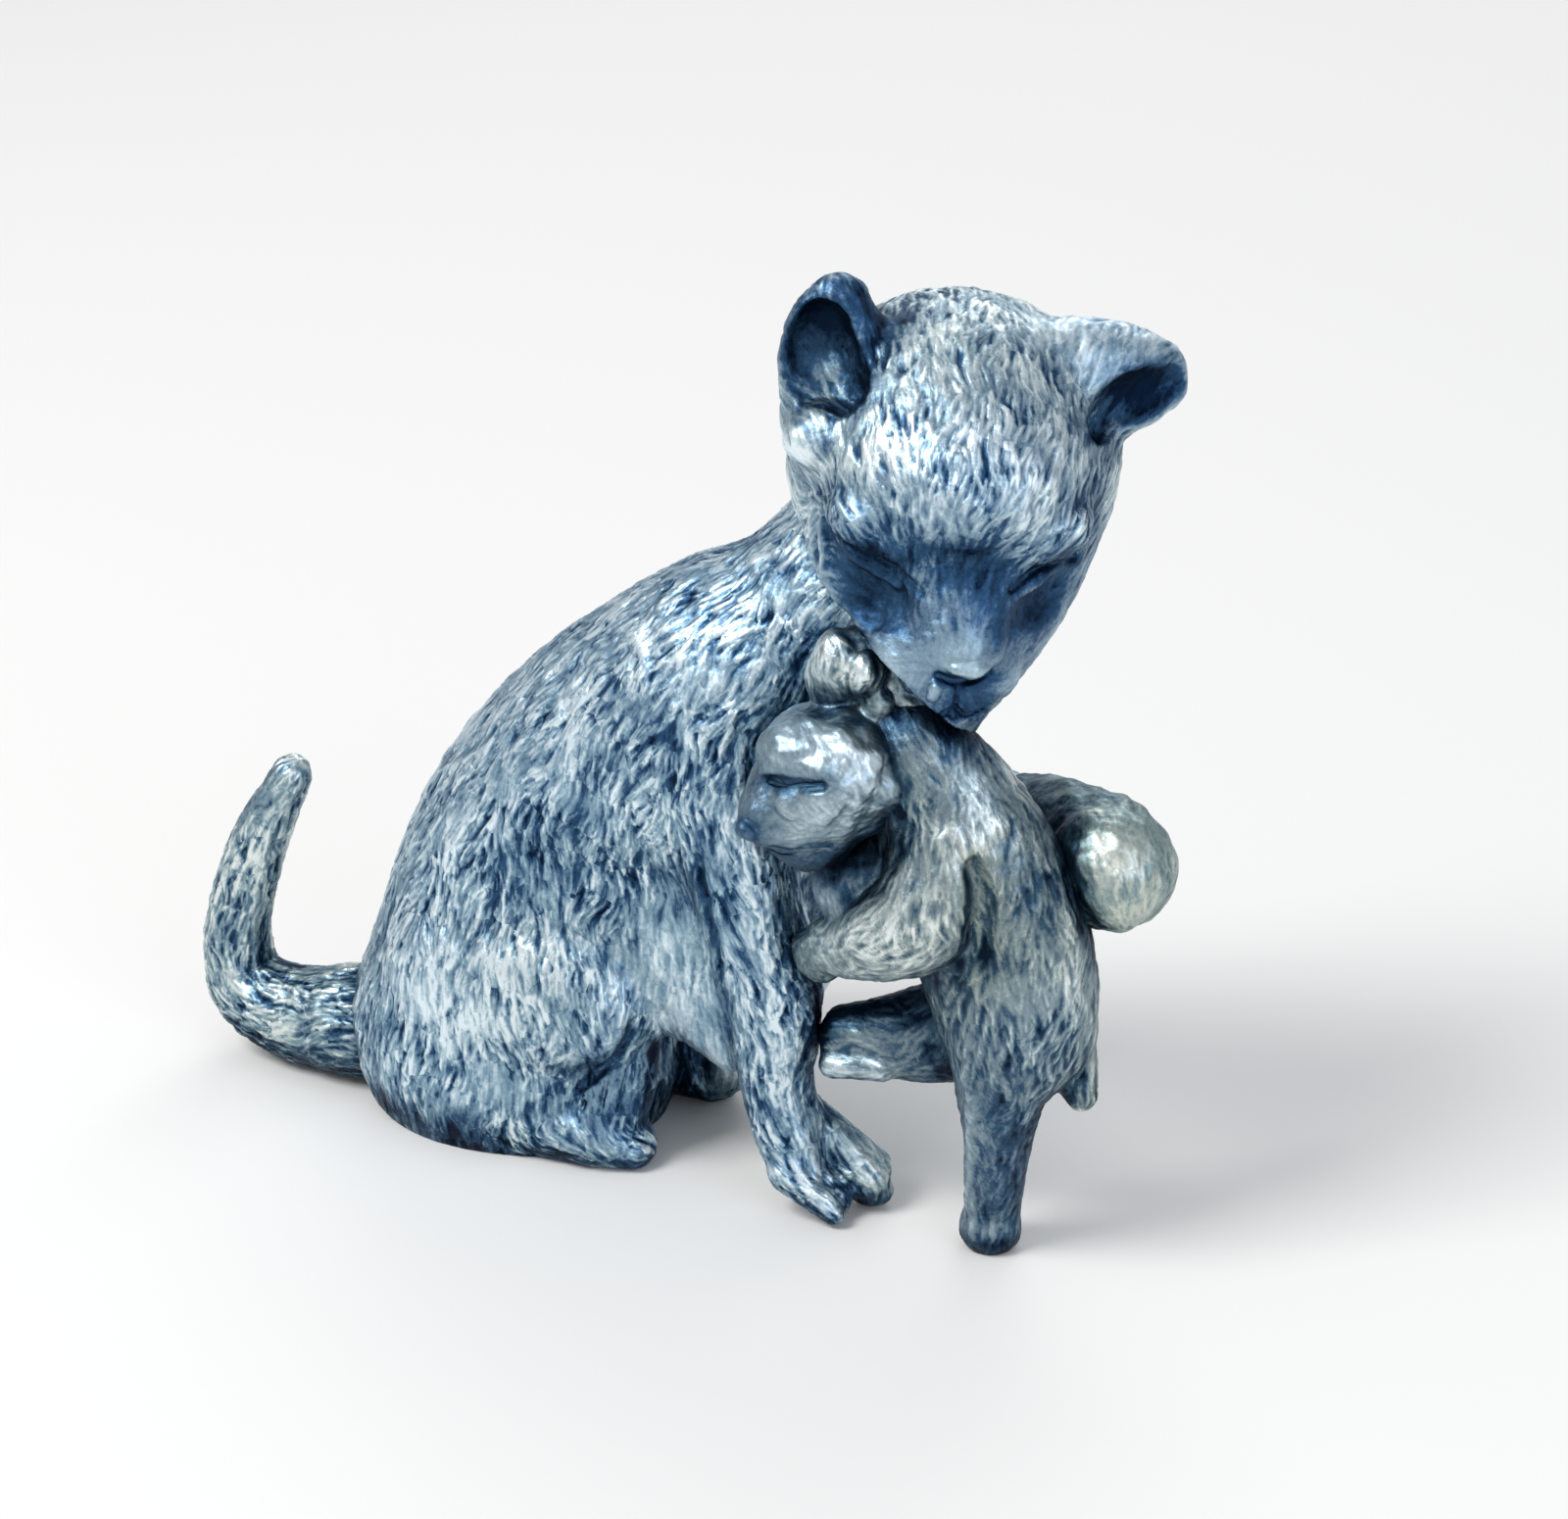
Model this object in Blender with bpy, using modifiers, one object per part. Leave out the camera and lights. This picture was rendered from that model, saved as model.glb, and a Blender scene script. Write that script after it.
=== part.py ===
"""A mother cat who bows over her kitten: a small ornament cast in white metal.

The group is six castings, soldered into one rigid piece. The mother sits facing
+X and turns her head to the near side, -Y. The kitten stands on one hind leg in
front of her breast, and her far foreleg reaches round behind it. Heights are
measured from the shelf, z = 0, and the origin lies on the flat underside of the
mother's seat. Every casting is built from oval limbs and round masses, fused into
one skin, and each seat is bedded into its neighbour with room for the solder.
"""

import math

import bmesh
import bpy
import numpy as np
from mathutils import Euler, Matrix, Vector

# Mother's trunk, legs and far foreleg
BODY_LENGTH = 0.0230
BODY_WIDTH = 0.0142
BODY_HEIGHT = 0.0310
TRUNK_DEPTH = 0.0148
TRUNK_WIDTH = 0.0128
THIGH_GIRTH = 0.0092
SHANK_GIRTH = 0.0034
HIND_FOOT_WIDTH = 0.0036
HIND_FOOT_HEIGHT = 0.0030
FORELEG_GIRTH = 0.0040
TOE_GIRTH = 0.0020
FLANK_HOLLOW_GIRTH = 0.0044
ARM_GIRTH = 0.0042
ARM_PAW_DIAMETER = 0.0052

# Mother's head, carried on the neck
NECK_GIRTH = 0.0090
HEAD_REACH = 0.0085
HEAD_LENGTH = 0.0146
HEAD_WIDTH = 0.0144
HEAD_HEIGHT = 0.0140
JAW_WIDTH = 0.0130
JAW_DEPTH = 0.0120
MUZZLE_WIDTH = 0.0056
MUZZLE_HEIGHT = 0.0040
EAR_WIDTH = 0.0056
EAR_DEPTH = 0.0040
EAR_HOLLOW_WIDTH = 0.0036
EAR_HOLLOW_DEPTH = 0.0026
EYE_SOCKET_GIRTH = 0.0032
LID_WIDTH = 0.0038
HEAD_TURN = math.radians(-62)
HEAD_NOD = math.radians(20)
HEAD_TILT = math.radians(-3)

# Mother's tail, lying behind the seat and bent up at its middle
TAIL_GIRTH = 0.0056
TAIL_REACH = 0.0074
TAIL_HEIGHT = 0.0158
TAIL_ASIDE = 0.0020

# Kitten
KITTEN_FORWARD = 0.0107
KITTEN_HEIGHT = 0.0240
KITTEN_DEPTH = 0.0080
KITTEN_WIDTH = 0.0066
KITTEN_LEG_GIRTH = 0.0030
KITTEN_ARM_GIRTH = 0.0042
KITTEN_TAIL_GIRTH = 0.0019
KITTEN_HEAD_LENGTH = 0.0068
KITTEN_HEAD_WIDTH = 0.0064
KITTEN_HEAD_HEIGHT = 0.0066
KITTEN_EAR_WIDTH = 0.0024
KITTEN_CHEEK_DIAMETER = 0.0018
KITTEN_TURN = math.radians(-116)
KITTEN_NOD = math.radians(20)
KITTEN_TILT = math.radians(-25)

# Joints: pegs cast on one piece, sockets in the other, and room for solder
SOLDER_GAP = 0.0003
NECK_PEG_DIAMETER = 0.0030
NECK_PEG_LENGTH = 0.0030
TAIL_PEG_DIAMETER = 0.0020
TAIL_PEG_LENGTH = 0.0030
ARM_PEG_DIAMETER = 0.0018
ARM_PEG_LENGTH = 0.0030
KITTEN_PEG_DIAMETER = 0.0016
KITTEN_PEG_LENGTH = 0.0022

# Fineness of the skin, and the share of its facets that each casting keeps
SKIN_VOXEL = 0.00032
ROOM_VOXEL = 0.00048
BODY_FACETS = 0.065
HEAD_FACETS = 0.11
KITTEN_FACETS = 0.10
LIMB_FACETS = 0.08
ROOM_FACETS = 0.25

# Rounds of smoothing that blend the forms of each casting
BODY_BLENDS = 8
HEAD_BLENDS = 4
LIMB_BLENDS = 4
KITTEN_BLENDS = 5
KITTEN_HEAD_BLENDS = 3

# Sides of an oval section, and sections between two stations of a limb
SECTION_SIDES = 24
STEPS_PER_SPAN = 6

ACROSS = Vector((0.0, 1.0, 0.0))
UPWARD = Vector((0.0, 0.0, 1.0))


def body(along, across, up):
    """Point on the mother, as shares of her length, width and height."""
    return Vector((along * BODY_LENGTH, across * BODY_WIDTH, up * BODY_HEIGHT))


def tail(back, aside, up):
    """Point on the tail, as shares of its reach behind the rump and of its height."""
    return Vector((TAIL_SEAT.x - back * TAIL_REACH, -aside * TAIL_ASIDE, up * TAIL_HEIGHT))


def head_turn(turn, nod, tilt):
    """Rotation whose x axis looks where a face looks, and whose z axis is its crown."""
    return Matrix.Rotation(turn, 3, "Z") @ Matrix.Rotation(nod, 3, "Y") @ Matrix.Rotation(tilt, 3, "X")


NECK_SEAT = body(0.609, 0.12, 0.968)
NECK_AXIS = Vector((0.60, 0.28, 0.75)).normalized()
HEAD_CENTRE = NECK_SEAT + HEAD_REACH * Vector((0.53, -0.32, 0.77)).normalized()
HEAD_AXES = head_turn(HEAD_TURN, HEAD_NOD, HEAD_TILT)
TAIL_SEAT = body(-0.557, -0.127, 0.097)
TAIL_AXIS = Vector((1.0, 0.1, 0.1)).normalized()
ARM_SEAT = body(0.53, 0.345, 0.587)
ARM_AXIS = Vector((-0.93, -0.15, 0.33)).normalized()

KITTEN_STAND = body(0.496, -0.232, 0.0) + KITTEN_FORWARD * Vector((1.0, 0.0, 0.0))
FOOT_SEAT = body(0.57, -0.282, 0.255)
FOOT_AXIS = Vector((-1.0, 0.0, 0.0))
PAW_SEAT = body(0.609, -0.38, 0.448)


def head(ahead, aside, up):
    """Point on the mother's head, as shares of the skull's length, width and height."""
    share = Vector((ahead * HEAD_LENGTH, aside * HEAD_WIDTH, up * HEAD_HEIGHT))
    return HEAD_CENTRE + HEAD_AXES @ share


def kitten(along, across, up):
    """Point on the kitten, as shares of its trunk and height, from its standing foot."""
    return KITTEN_STAND + Vector((along * KITTEN_DEPTH, across * KITTEN_WIDTH, up * KITTEN_HEIGHT))


def kitten_head(ahead, aside, up):
    """Point on the kitten's head, as shares of its length, width and height."""
    share = Vector((ahead * KITTEN_HEAD_LENGTH, aside * KITTEN_HEAD_WIDTH, up * KITTEN_HEAD_HEIGHT))
    return KITTEN_HEAD_CENTRE + KITTEN_HEAD_AXES @ share


KITTEN_NECK = kitten(-0.35, -0.47, 1.017)
KITTEN_HEAD_CENTRE = kitten(-0.7, -0.712, 1.0)
KITTEN_HEAD_AXES = head_turn(KITTEN_TURN, KITTEN_NOD, KITTEN_TILT)
KITTEN_BREAST = kitten(-0.138, -0.364, 0.908)
NAPE_AXIS = (KITTEN_BREAST - KITTEN_HEAD_CENTRE).normalized()
NAPE_SEAT = KITTEN_HEAD_CENTRE + 0.5 * KITTEN_HEAD_LENGTH * NAPE_AXIS


def smooth_path(stations):
    """Round curve through the stations, with each station's sizes carried along."""
    rows = np.array([[*point, *sizes] for point, *sizes in stations])
    before = 2 * rows[0] - rows[1]
    after = 2 * rows[-1] - rows[-2]
    padded = np.vstack([before, rows, after])
    steps = np.linspace(0.0, 1.0, STEPS_PER_SPAN, endpoint=False)[:, None]
    spans = []
    for start in range(1, len(padded) - 2):
        a, b, c, d = padded[start - 1:start + 3]
        bend = (2 * a - 5 * b + 4 * c - d) * steps**2 + (3 * b - 3 * c + d - a) * steps**3
        spans.append(0.5 * (2 * b + (c - a) * steps + bend))
    return np.vstack([*spans, rows[-1:]])


def limb(shape, stations, width, depth, side=ACROSS):
    """Loft an oval section along the stations and round off both ends.

    A station is a point, its share of the width and its share of the depth. The
    width is measured along side, and the depth square to it and to the path.
    """
    path = smooth_path(stations)
    centres = path[:, :3]
    half_widths = path[:, 3:4] * width / 2
    half_depths = path[:, 4:5] * depth / 2
    along = np.gradient(centres, axis=0)
    along /= np.linalg.norm(along, axis=1, keepdims=True)
    aside = np.array(side) - (along @ np.array(side))[:, None] * along
    aside /= np.linalg.norm(aside, axis=1, keepdims=True)
    over = np.cross(along, aside)
    turn = np.linspace(0.0, math.tau, SECTION_SIDES, endpoint=False)[None, :, None]
    rings = centres[:, None] + np.cos(turn) * (half_widths * aside)[:, None]
    rings = rings + np.sin(turn) * (half_depths * over)[:, None]
    loops = [[shape.verts.new(point) for point in ring] for ring in rings]
    for lower, upper in zip(loops, loops[1:]):
        for i in range(SECTION_SIDES):
            j = (i + 1) % SECTION_SIDES
            shape.faces.new((lower[i], lower[j], upper[j], upper[i]))
    shape.faces.new(reversed(loops[0]))
    shape.faces.new(loops[-1])
    for end in (0, -1):
        reach = min(half_widths[end, 0], half_depths[end, 0])
        columns = (half_widths[end] * aside[end], half_depths[end] * over[end], reach * along[end])
        mass(shape, Vector(centres[end]), Matrix(np.array(columns).T.tolist()))


def mass(shape, centre, axes):
    """Add a ball stretched along the three columns of its axes."""
    placed = Matrix.Translation(centre) @ axes.to_4x4()
    bmesh.ops.create_uvsphere(shape, u_segments=SECTION_SIDES, v_segments=SECTION_SIDES // 2,
                              radius=1.0, matrix=placed)


def ball(shape, centre, length, width, height, axes=None):
    """Add an oval ball of the given full sizes, lying along the axes."""
    stretch = Matrix.Diagonal(Vector((length, width, height)) / 2)
    mass(shape, centre, (axes or Matrix.Identity(3)) @ stretch)


def trunk(shape):
    """Rump, back and belly: an oval section that leans forward as it climbs."""
    limb(shape, [
        (body(-0.2, 0.0, 0.032), 0.969, 0.946),
        (body(-0.183, 0.0, 0.242), 1.016, 1.027),
        (body(-0.07, 0.0, 0.452), 1.0, 1.0),
        (body(0.126, 0.0, 0.629), 0.953, 0.946),
        (body(0.33, 0.0, 0.758), 0.844, 0.824),
    ], TRUNK_WIDTH, TRUNK_DEPTH)
    limb(shape, [
        (body(0.313, 0.0, 0.745), 1.222, 1.356),
        (body(0.496, 0.063, 0.877), 1.044, 1.111),
        (body(0.661, 0.176, 1.032), 1.022, 1.044),
    ], NECK_GIRTH, NECK_GIRTH)
    ball(shape, body(-0.217, -0.007, 0.123), 0.713 * BODY_LENGTH, 1.014 * BODY_WIDTH,
         0.452 * BODY_HEIGHT)
    ball(shape, body(0.235, -0.007, 0.381), 0.522 * BODY_LENGTH, 0.766 * TRUNK_WIDTH,
         0.426 * BODY_HEIGHT)
    ball(shape, body(0.365, 0.0, 0.561), 0.452 * BODY_LENGTH, 0.812 * TRUNK_WIDTH, 0.413 * BODY_HEIGHT)


def shoulder(shape, side):
    """Shoulder blade, a flat mass that leans back over the foreleg."""
    lean = Euler((0.0, math.radians(25), 0.0)).to_matrix()
    ball(shape, body(0.335, side * 0.232, 0.648), 0.348 * BODY_LENGTH, 0.422 * TRUNK_WIDTH,
         0.323 * BODY_HEIGHT, lean)


def flank_hollow(shape, side):
    """Groove that parts the haunch from the ribs, from the loin down to the elbow."""
    limb(shape, [
        (body(-0.148, side * 0.606, 0.497), 0.727, 0.818),
        (body(0.026, side * 0.57, 0.49), 1.0, 1.0),
        (body(0.191, side * 0.528, 0.484), 1.0, 1.0),
        (body(0.313, side * 0.493, 0.497), 0.727, 0.727),
    ], FLANK_HOLLOW_GIRTH, FLANK_HOLLOW_GIRTH)


def hind_leg(shape, side):
    """Folded hind leg: thigh up to the knee, shank down to a foot flat on the shelf."""
    ball(shape, body(-0.035, side * 0.303, 0.297), 0.4 * BODY_LENGTH, 0.609 * THIGH_GIRTH,
         0.252 * BODY_HEIGHT)
    limb(shape, [
        (body(-0.217, side * 0.197, 0.258), 1.0, 1.13),
        (body(-0.052, side * 0.261, 0.265), 0.804, 1.0),
        (body(0.104, side * 0.296, 0.261), 0.565, 0.63),
    ], THIGH_GIRTH, THIGH_GIRTH)
    limb(shape, [
        (body(0.139, side * 0.261, 0.226), 0.882, 1.0),
        (body(0.113, side * 0.261, 0.142), 0.941, 1.059),
        (body(0.096, side * 0.282, 0.058), 0.941, 0.941),
    ], SHANK_GIRTH, SHANK_GIRTH)
    limb(shape, [
        (body(-0.087, side * 0.352, 0.039), 1.056, 1.0),
        (body(0.07, side * 0.338, 0.039), 1.0, 1.0),
        (body(0.161, side * 0.275, 0.032), 0.833, 0.733),
    ], HIND_FOOT_WIDTH, HIND_FOOT_HEIGHT)


def foreleg(shape):
    """Near foreleg down to the shelf, and a paw of four spread toes."""
    limb(shape, [
        (body(0.383, -0.282, 0.661), 1.1, 1.4),
        (body(0.443, -0.31, 0.5), 1.05, 1.25),
        (body(0.496, -0.303, 0.348), 1.0, 1.2),
        (body(0.496, -0.282, 0.213), 0.8, 0.85),
        (body(0.53, -0.275, 0.116), 0.85, 0.85),
        (body(0.574, -0.261, 0.058), 0.85, 0.65),
    ], FORELEG_GIRTH, FORELEG_GIRTH)
    for root, tip, reach, rise in ((-0.338, -0.345, 0.63, 0.029), (-0.268, -0.275, 0.652, 0.029),
                                   (-0.204, -0.155, 0.661, 0.039), (-0.155, -0.085, 0.643, 0.035)):
        limb(shape, [
            (body(0.543, root, 0.084), 1.0, 1.05),
            (body(reach, tip, rise), 0.85, 0.85),
        ], TOE_GIRTH, TOE_GIRTH)


def far_foreleg(shape):
    """Far foreleg, reaching round behind the kitten to a blunt paw on its back."""
    limb(shape, [
        (body(0.374, 0.296, 0.658), 1.286, 1.381),
        (body(0.548, 0.394, 0.561), 1.095, 1.143),
        (kitten(-0.738, 1.318, 0.7), 1.0, 1.0),
        (kitten(-0.238, 1.045, 0.725), 0.905, 0.905),
        (kitten(0.237, 0.636, 0.767), 0.952, 1.0),
        (kitten(0.512, 0.348, 0.787), 1.095, 1.095),
    ], ARM_GIRTH, ARM_GIRTH, UPWARD)
    ball(shape, kitten(0.65, 0.258, 0.796), 1.038 * ARM_PAW_DIAMETER, ARM_PAW_DIAMETER,
         ARM_PAW_DIAMETER)


def skull(shape):
    """Round cranium over a jaw that narrows to the chin, on a stump of neck."""
    limb(shape, [
        (NECK_SEAT - 0.1 * HEAD_REACH * NECK_AXIS, 0.978, 1.0),
        (NECK_SEAT + 0.2 * HEAD_REACH * NECK_AXIS, 0.978, 1.0),
        (NECK_SEAT.lerp(HEAD_CENTRE, 0.75), 1.044, 1.067),
    ], NECK_GIRTH, NECK_GIRTH)
    ball(shape, head(-0.014, 0.0, 0.014), HEAD_LENGTH, HEAD_WIDTH, HEAD_HEIGHT, HEAD_AXES)
    limb(shape, [
        (head(0.068, 0.0, -0.043), 1.0, 1.0),
        (head(0.247, 0.0, -0.186), 0.892, 0.833),
        (head(0.425, 0.0, -0.314), 0.646, 0.65),
        (head(0.562, -0.024, -0.421), 0.4, 0.433),
        (head(0.637, -0.024, -0.507), 0.254, 0.267),
    ], JAW_WIDTH, JAW_DEPTH, HEAD_AXES.col[1])
    ball(shape, head(0.247, 0.007, 0.157), 0.603 * HEAD_LENGTH, 0.667 * HEAD_WIDTH,
         0.471 * HEAD_HEIGHT, HEAD_AXES)


def eye_socket(shape, side):
    """Hollow under the brow, in which the closed lid lies."""
    limb(shape, [
        (head(0.493, side * 0.361, -0.121), 0.625, 0.688),
        (head(0.555, side * 0.285, -0.121), 1.0, 1.0),
        (head(0.63, side * 0.181, -0.114), 0.813, 0.75),
    ], EYE_SOCKET_GIRTH, EYE_SOCKET_GIRTH, HEAD_AXES.col[1])


def face(shape):
    """Bridge of the nose, lip pads, and the brows and closed lids on either side."""
    limb(shape, [
        (head(0.438, 0.0, 0.029), 0.643, 0.6),
        (head(0.555, 0.0, -0.093), 0.536, 0.55),
        (head(0.651, 0.0, -0.193), 0.5, 0.55),
    ], MUZZLE_WIDTH, MUZZLE_HEIGHT, HEAD_AXES.col[1])
    limb(shape, [
        (head(0.493, 0.0, -0.257), 1.071, 1.1),
        (head(0.61, 0.0, -0.336), 0.821, 0.95),
    ], MUZZLE_WIDTH, MUZZLE_HEIGHT, HEAD_AXES.col[1])
    for side in (-1, 1):
        ball(shape, head(0.596, side * 0.09, -0.307), 0.5 * MUZZLE_WIDTH, 0.5 * MUZZLE_WIDTH,
             0.464 * MUZZLE_WIDTH, HEAD_AXES)
        ball(shape, head(0.342, side * 0.188, 0.093), 0.895 * LID_WIDTH, 1.526 * LID_WIDTH,
             0.947 * LID_WIDTH, HEAD_AXES)
        ball(shape, head(0.377, side * 0.215, -0.136), 0.947 * LID_WIDTH, 1.158 * LID_WIDTH,
             0.789 * LID_WIDTH, HEAD_AXES)


def upright_ear(shape):
    """Ear that stands up beside the crown."""
    limb(shape, [
        (head(0.041, -0.347, 0.171), 1.0, 1.0),
        (head(-0.034, -0.396, 0.371), 0.857, 0.85),
        (head(-0.089, -0.389, 0.507), 0.429, 0.5),
    ], EAR_WIDTH, EAR_DEPTH, HEAD_AXES.col[1])


def spread_ear(shape):
    """Ear that is laid out sideways, its hollow turned down."""
    limb(shape, [
        (head(-0.027, 0.278, 0.243), 1.036, 1.1),
        (head(-0.048, 0.458, 0.25), 0.964, 0.95),
        (head(-0.082, 0.597, 0.243), 0.607, 0.6),
    ], EAR_WIDTH, EAR_DEPTH, HEAD_AXES @ Vector((-0.5, 0.0, 0.86)))


def ear_hollows(shape):
    """Cups of both ears, open to the front."""
    limb(shape, [
        (head(0.158, -0.361, 0.214), 0.833, 0.923),
        (head(0.082, -0.41, 0.35), 0.944, 1.077),
        (head(0.007, -0.396, 0.486), 0.5, 0.615),
    ], EAR_HOLLOW_WIDTH, EAR_HOLLOW_DEPTH, HEAD_AXES.col[1])
    limb(shape, [
        (head(0.13, 0.375, 0.171), 0.667, 0.923),
        (head(0.082, 0.479, 0.207), 0.944, 1.077),
        (head(0.027, 0.583, 0.207), 0.556, 0.692),
    ], EAR_HOLLOW_WIDTH, EAR_HOLLOW_DEPTH, HEAD_AXES @ Vector((-0.5, 0.0, 0.86)))


def tail_form(shape):
    """Tail that lies along the shelf, turns up sharply and ends in a blunt tip."""
    limb(shape, [
        (tail(-0.311, 0.8, 0.203), 1.0, 1.036),
        (tail(0.027, 1.0, 0.184), 0.964, 1.0),
        (tail(0.514, 1.0, 0.158), 0.821, 0.857),
        (tail(0.905, 1.0, 0.222), 0.679, 0.714),
        (tail(0.959, 1.0, 0.43), 0.571, 0.571),
        (tail(0.757, 1.0, 0.722), 0.5, 0.5),
        (tail(0.473, 1.0, 0.968), 0.357, 0.357),
    ], TAIL_GIRTH, TAIL_GIRTH)


def kitten_trunk(shape):
    """Kitten's nape, throat, breast, belly and rump, upright and bent a little backwards."""
    limb(shape, [
        (KITTEN_NECK, 0.788, 0.625),
        (kitten(-0.088, -0.333, 0.883), 0.939, 0.85),
        (kitten(0.062, -0.212, 0.717), 1.03, 1.025),
        (kitten(0.137, -0.091, 0.558), 1.0, 0.975),
        (kitten(0.2, -0.061, 0.475), 0.909, 0.825),
    ], KITTEN_WIDTH, KITTEN_DEPTH)
    breast = Euler((0.0, math.radians(15), 0.0)).to_matrix()
    ball(shape, kitten(-0.338, -0.288, 0.783), 0.8 * KITTEN_DEPTH, 0.848 * KITTEN_WIDTH,
         0.308 * KITTEN_HEIGHT, breast)
    ball(shape, kitten(-0.626, -0.41, 0.763), 0.5 * KITTEN_DEPTH, 0.606 * KITTEN_WIDTH,
         0.183 * KITTEN_HEIGHT)
    ball(shape, kitten(0.287, -0.243, 0.567), 0.7 * KITTEN_DEPTH, 0.697 * KITTEN_WIDTH,
         0.3 * KITTEN_HEIGHT)
    limb(shape, [
        (kitten(-0.413, -0.501, 1.083), 0.515, 0.4),
        (kitten(-0.238, -0.501, 1.067), 0.515, 0.4),
        (kitten(-0.088, -0.41, 0.983), 0.576, 0.5),
    ], KITTEN_WIDTH, KITTEN_DEPTH)
    limb(shape, [
        (kitten(0.487, 0.076, 0.558), 0.947, 1.053),
        (kitten(0.575, 0.061, 0.458), 1.053, 1.053),
        (kitten(0.512, -0.015, 0.371), 0.947, 0.947),
    ], KITTEN_TAIL_GIRTH, KITTEN_TAIL_GIRTH)


def kitten_legs(shape):
    """Standing leg, and the other hind leg braced forward on the mother's foreleg."""
    limb(shape, [
        (kitten(0.188, -0.197, 0.508), 1.733, 2.067),
        (kitten(0.15, -0.197, 0.367), 1.333, 1.6),
        (kitten(0.087, -0.106, 0.208), 1.0, 1.067),
        (kitten(0.025, -0.015, 0.083), 0.833, 0.867),
        (kitten(0.0, 0.0, 0.037), 0.867, 0.9),
    ], KITTEN_LEG_GIRTH, KITTEN_LEG_GIRTH)
    limb(shape, [
        (kitten(-0.038, 0.136, 0.458), 1.6, 1.733),
        (kitten(-0.45, 0.045, 0.383), 1.133, 1.333),
        (FOOT_SEAT + Vector((KITTEN_LEG_GIRTH / 2, 0.0, 0.0)), 0.8, 0.8),
    ], KITTEN_LEG_GIRTH, KITTEN_LEG_GIRTH)


def kitten_arm(shape):
    """Near foreleg: a thick upper arm, then a forearm that tapers to a pointed paw."""
    limb(shape, [
        (kitten(-0.088, -0.561, 0.892), 0.952, 1.19),
        (kitten(-0.15, -0.697, 0.75), 1.0, 1.143),
        (kitten(-0.488, -0.652, 0.667), 0.905, 1.0),
        (PAW_SEAT, 0.429, 0.476),
    ], KITTEN_ARM_GIRTH, KITTEN_ARM_GIRTH)


def kitten_skull(shape):
    """Kitten's head: round skull, short snout, one cheek and two small ears."""
    ball(shape, kitten_head(0.0, 0.0, 0.0), KITTEN_HEAD_LENGTH, KITTEN_HEAD_WIDTH,
         KITTEN_HEAD_HEIGHT, KITTEN_HEAD_AXES)
    limb(shape, [
        (kitten_head(0.206, 0.0, -0.091), 0.688, 0.636),
        (kitten_head(0.5, 0.0, -0.167), 0.469, 0.455),
        (kitten_head(0.676, 0.0, -0.182), 0.281, 0.273),
    ], KITTEN_HEAD_WIDTH, KITTEN_HEAD_HEIGHT, KITTEN_HEAD_AXES.col[1])
    limb(shape, [
        (kitten_head(-0.059, 0.297, 0.242), 1.0, 0.75),
        (kitten_head(-0.088, 0.391, 0.485), 0.667, 0.5),
    ], KITTEN_EAR_WIDTH, KITTEN_EAR_WIDTH, KITTEN_HEAD_AXES.col[1])
    limb(shape, [
        (kitten_head(-0.191, -0.203, 0.333), 1.083, 0.75),
        (kitten_head(-0.294, -0.266, 0.515), 0.917, 0.667),
        (kitten_head(-0.324, -0.297, 0.652), 0.583, 0.417),
    ], KITTEN_EAR_WIDTH, KITTEN_EAR_WIDTH, KITTEN_HEAD_AXES.col[1])
    limb(shape, [
        (kitten_head(-0.382, -0.25, 0.621), 0.75, 0.667),
        (kitten_head(-0.485, -0.094, 0.53), 1.0, 0.75),
        (kitten_head(-0.544, 0.141, 0.364), 1.0, 0.75),
    ], KITTEN_EAR_WIDTH, KITTEN_EAR_WIDTH)
    ball(shape, kitten_head(-0.103, 0.406, 0.091), KITTEN_CHEEK_DIAMETER, KITTEN_CHEEK_DIAMETER,
         1.333 * KITTEN_CHEEK_DIAMETER, KITTEN_HEAD_AXES)


def collection(name):
    """New collection in the scene."""
    made = bpy.data.collections.new(name)
    bpy.context.scene.collection.children.link(made)
    return made


def solid(name, home, *forms):
    """Object whose mesh holds the given forms, each still its own closed body."""
    shape = bmesh.new()
    for form in forms:
        form(shape)
    mesh = bpy.data.meshes.new(name)
    shape.to_mesh(mesh)
    shape.free()
    made = bpy.data.objects.new(name, mesh)
    home.objects.link(made)
    return made


def cutter(name, home, *forms):
    """Object used only to cut or join another."""
    made = solid(name, home, *forms)
    as_guide(made)
    return made


def as_guide(made):
    """Keep an object out of renders and draw it as wire."""
    made.hide_render = True
    made.display_type = "WIRE"


def skin(piece, voxel=SKIN_VOXEL):
    """Fuse overlapping bodies into one even skin."""
    remesh = piece.modifiers.new("fuse forms", "REMESH")
    remesh.mode = "VOXEL"
    remesh.voxel_size = voxel
    remesh.use_smooth_shade = True


def soften(piece, rounds):
    """Blend the creases between forms, as a sculptor's thumb does."""
    smooth = piece.modifiers.new("soften creases", "SMOOTH")
    smooth.factor = 0.5
    smooth.iterations = rounds


def facet(piece, share):
    """Thin out the skin's facets to a share of their number."""
    thin = piece.modifiers.new("thin facets", "DECIMATE")
    thin.ratio = share


def cut(piece, tool, operation="DIFFERENCE"):
    """Take a cutter's shape away from a piece, or join it on."""
    boolean = piece.modifiers.new(f"{operation.lower()} {tool.name}", "BOOLEAN")
    boolean.object = tool
    boolean.operation = operation
    boolean.solver = "EXACT"


def allowance(piece, home):
    """Cutter that is a solder gap larger than a piece, to bed its neighbour."""
    grown = piece.copy()
    grown.name = f"{piece.name}_allowance"
    home.objects.link(grown)
    as_guide(grown)
    swell = grown.modifiers.new("solder gap", "DISPLACE")
    swell.strength = SOLDER_GAP
    swell.mid_level = 0.0
    skin(grown, ROOM_VOXEL)
    facet(grown, ROOM_FACETS)
    return grown


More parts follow.
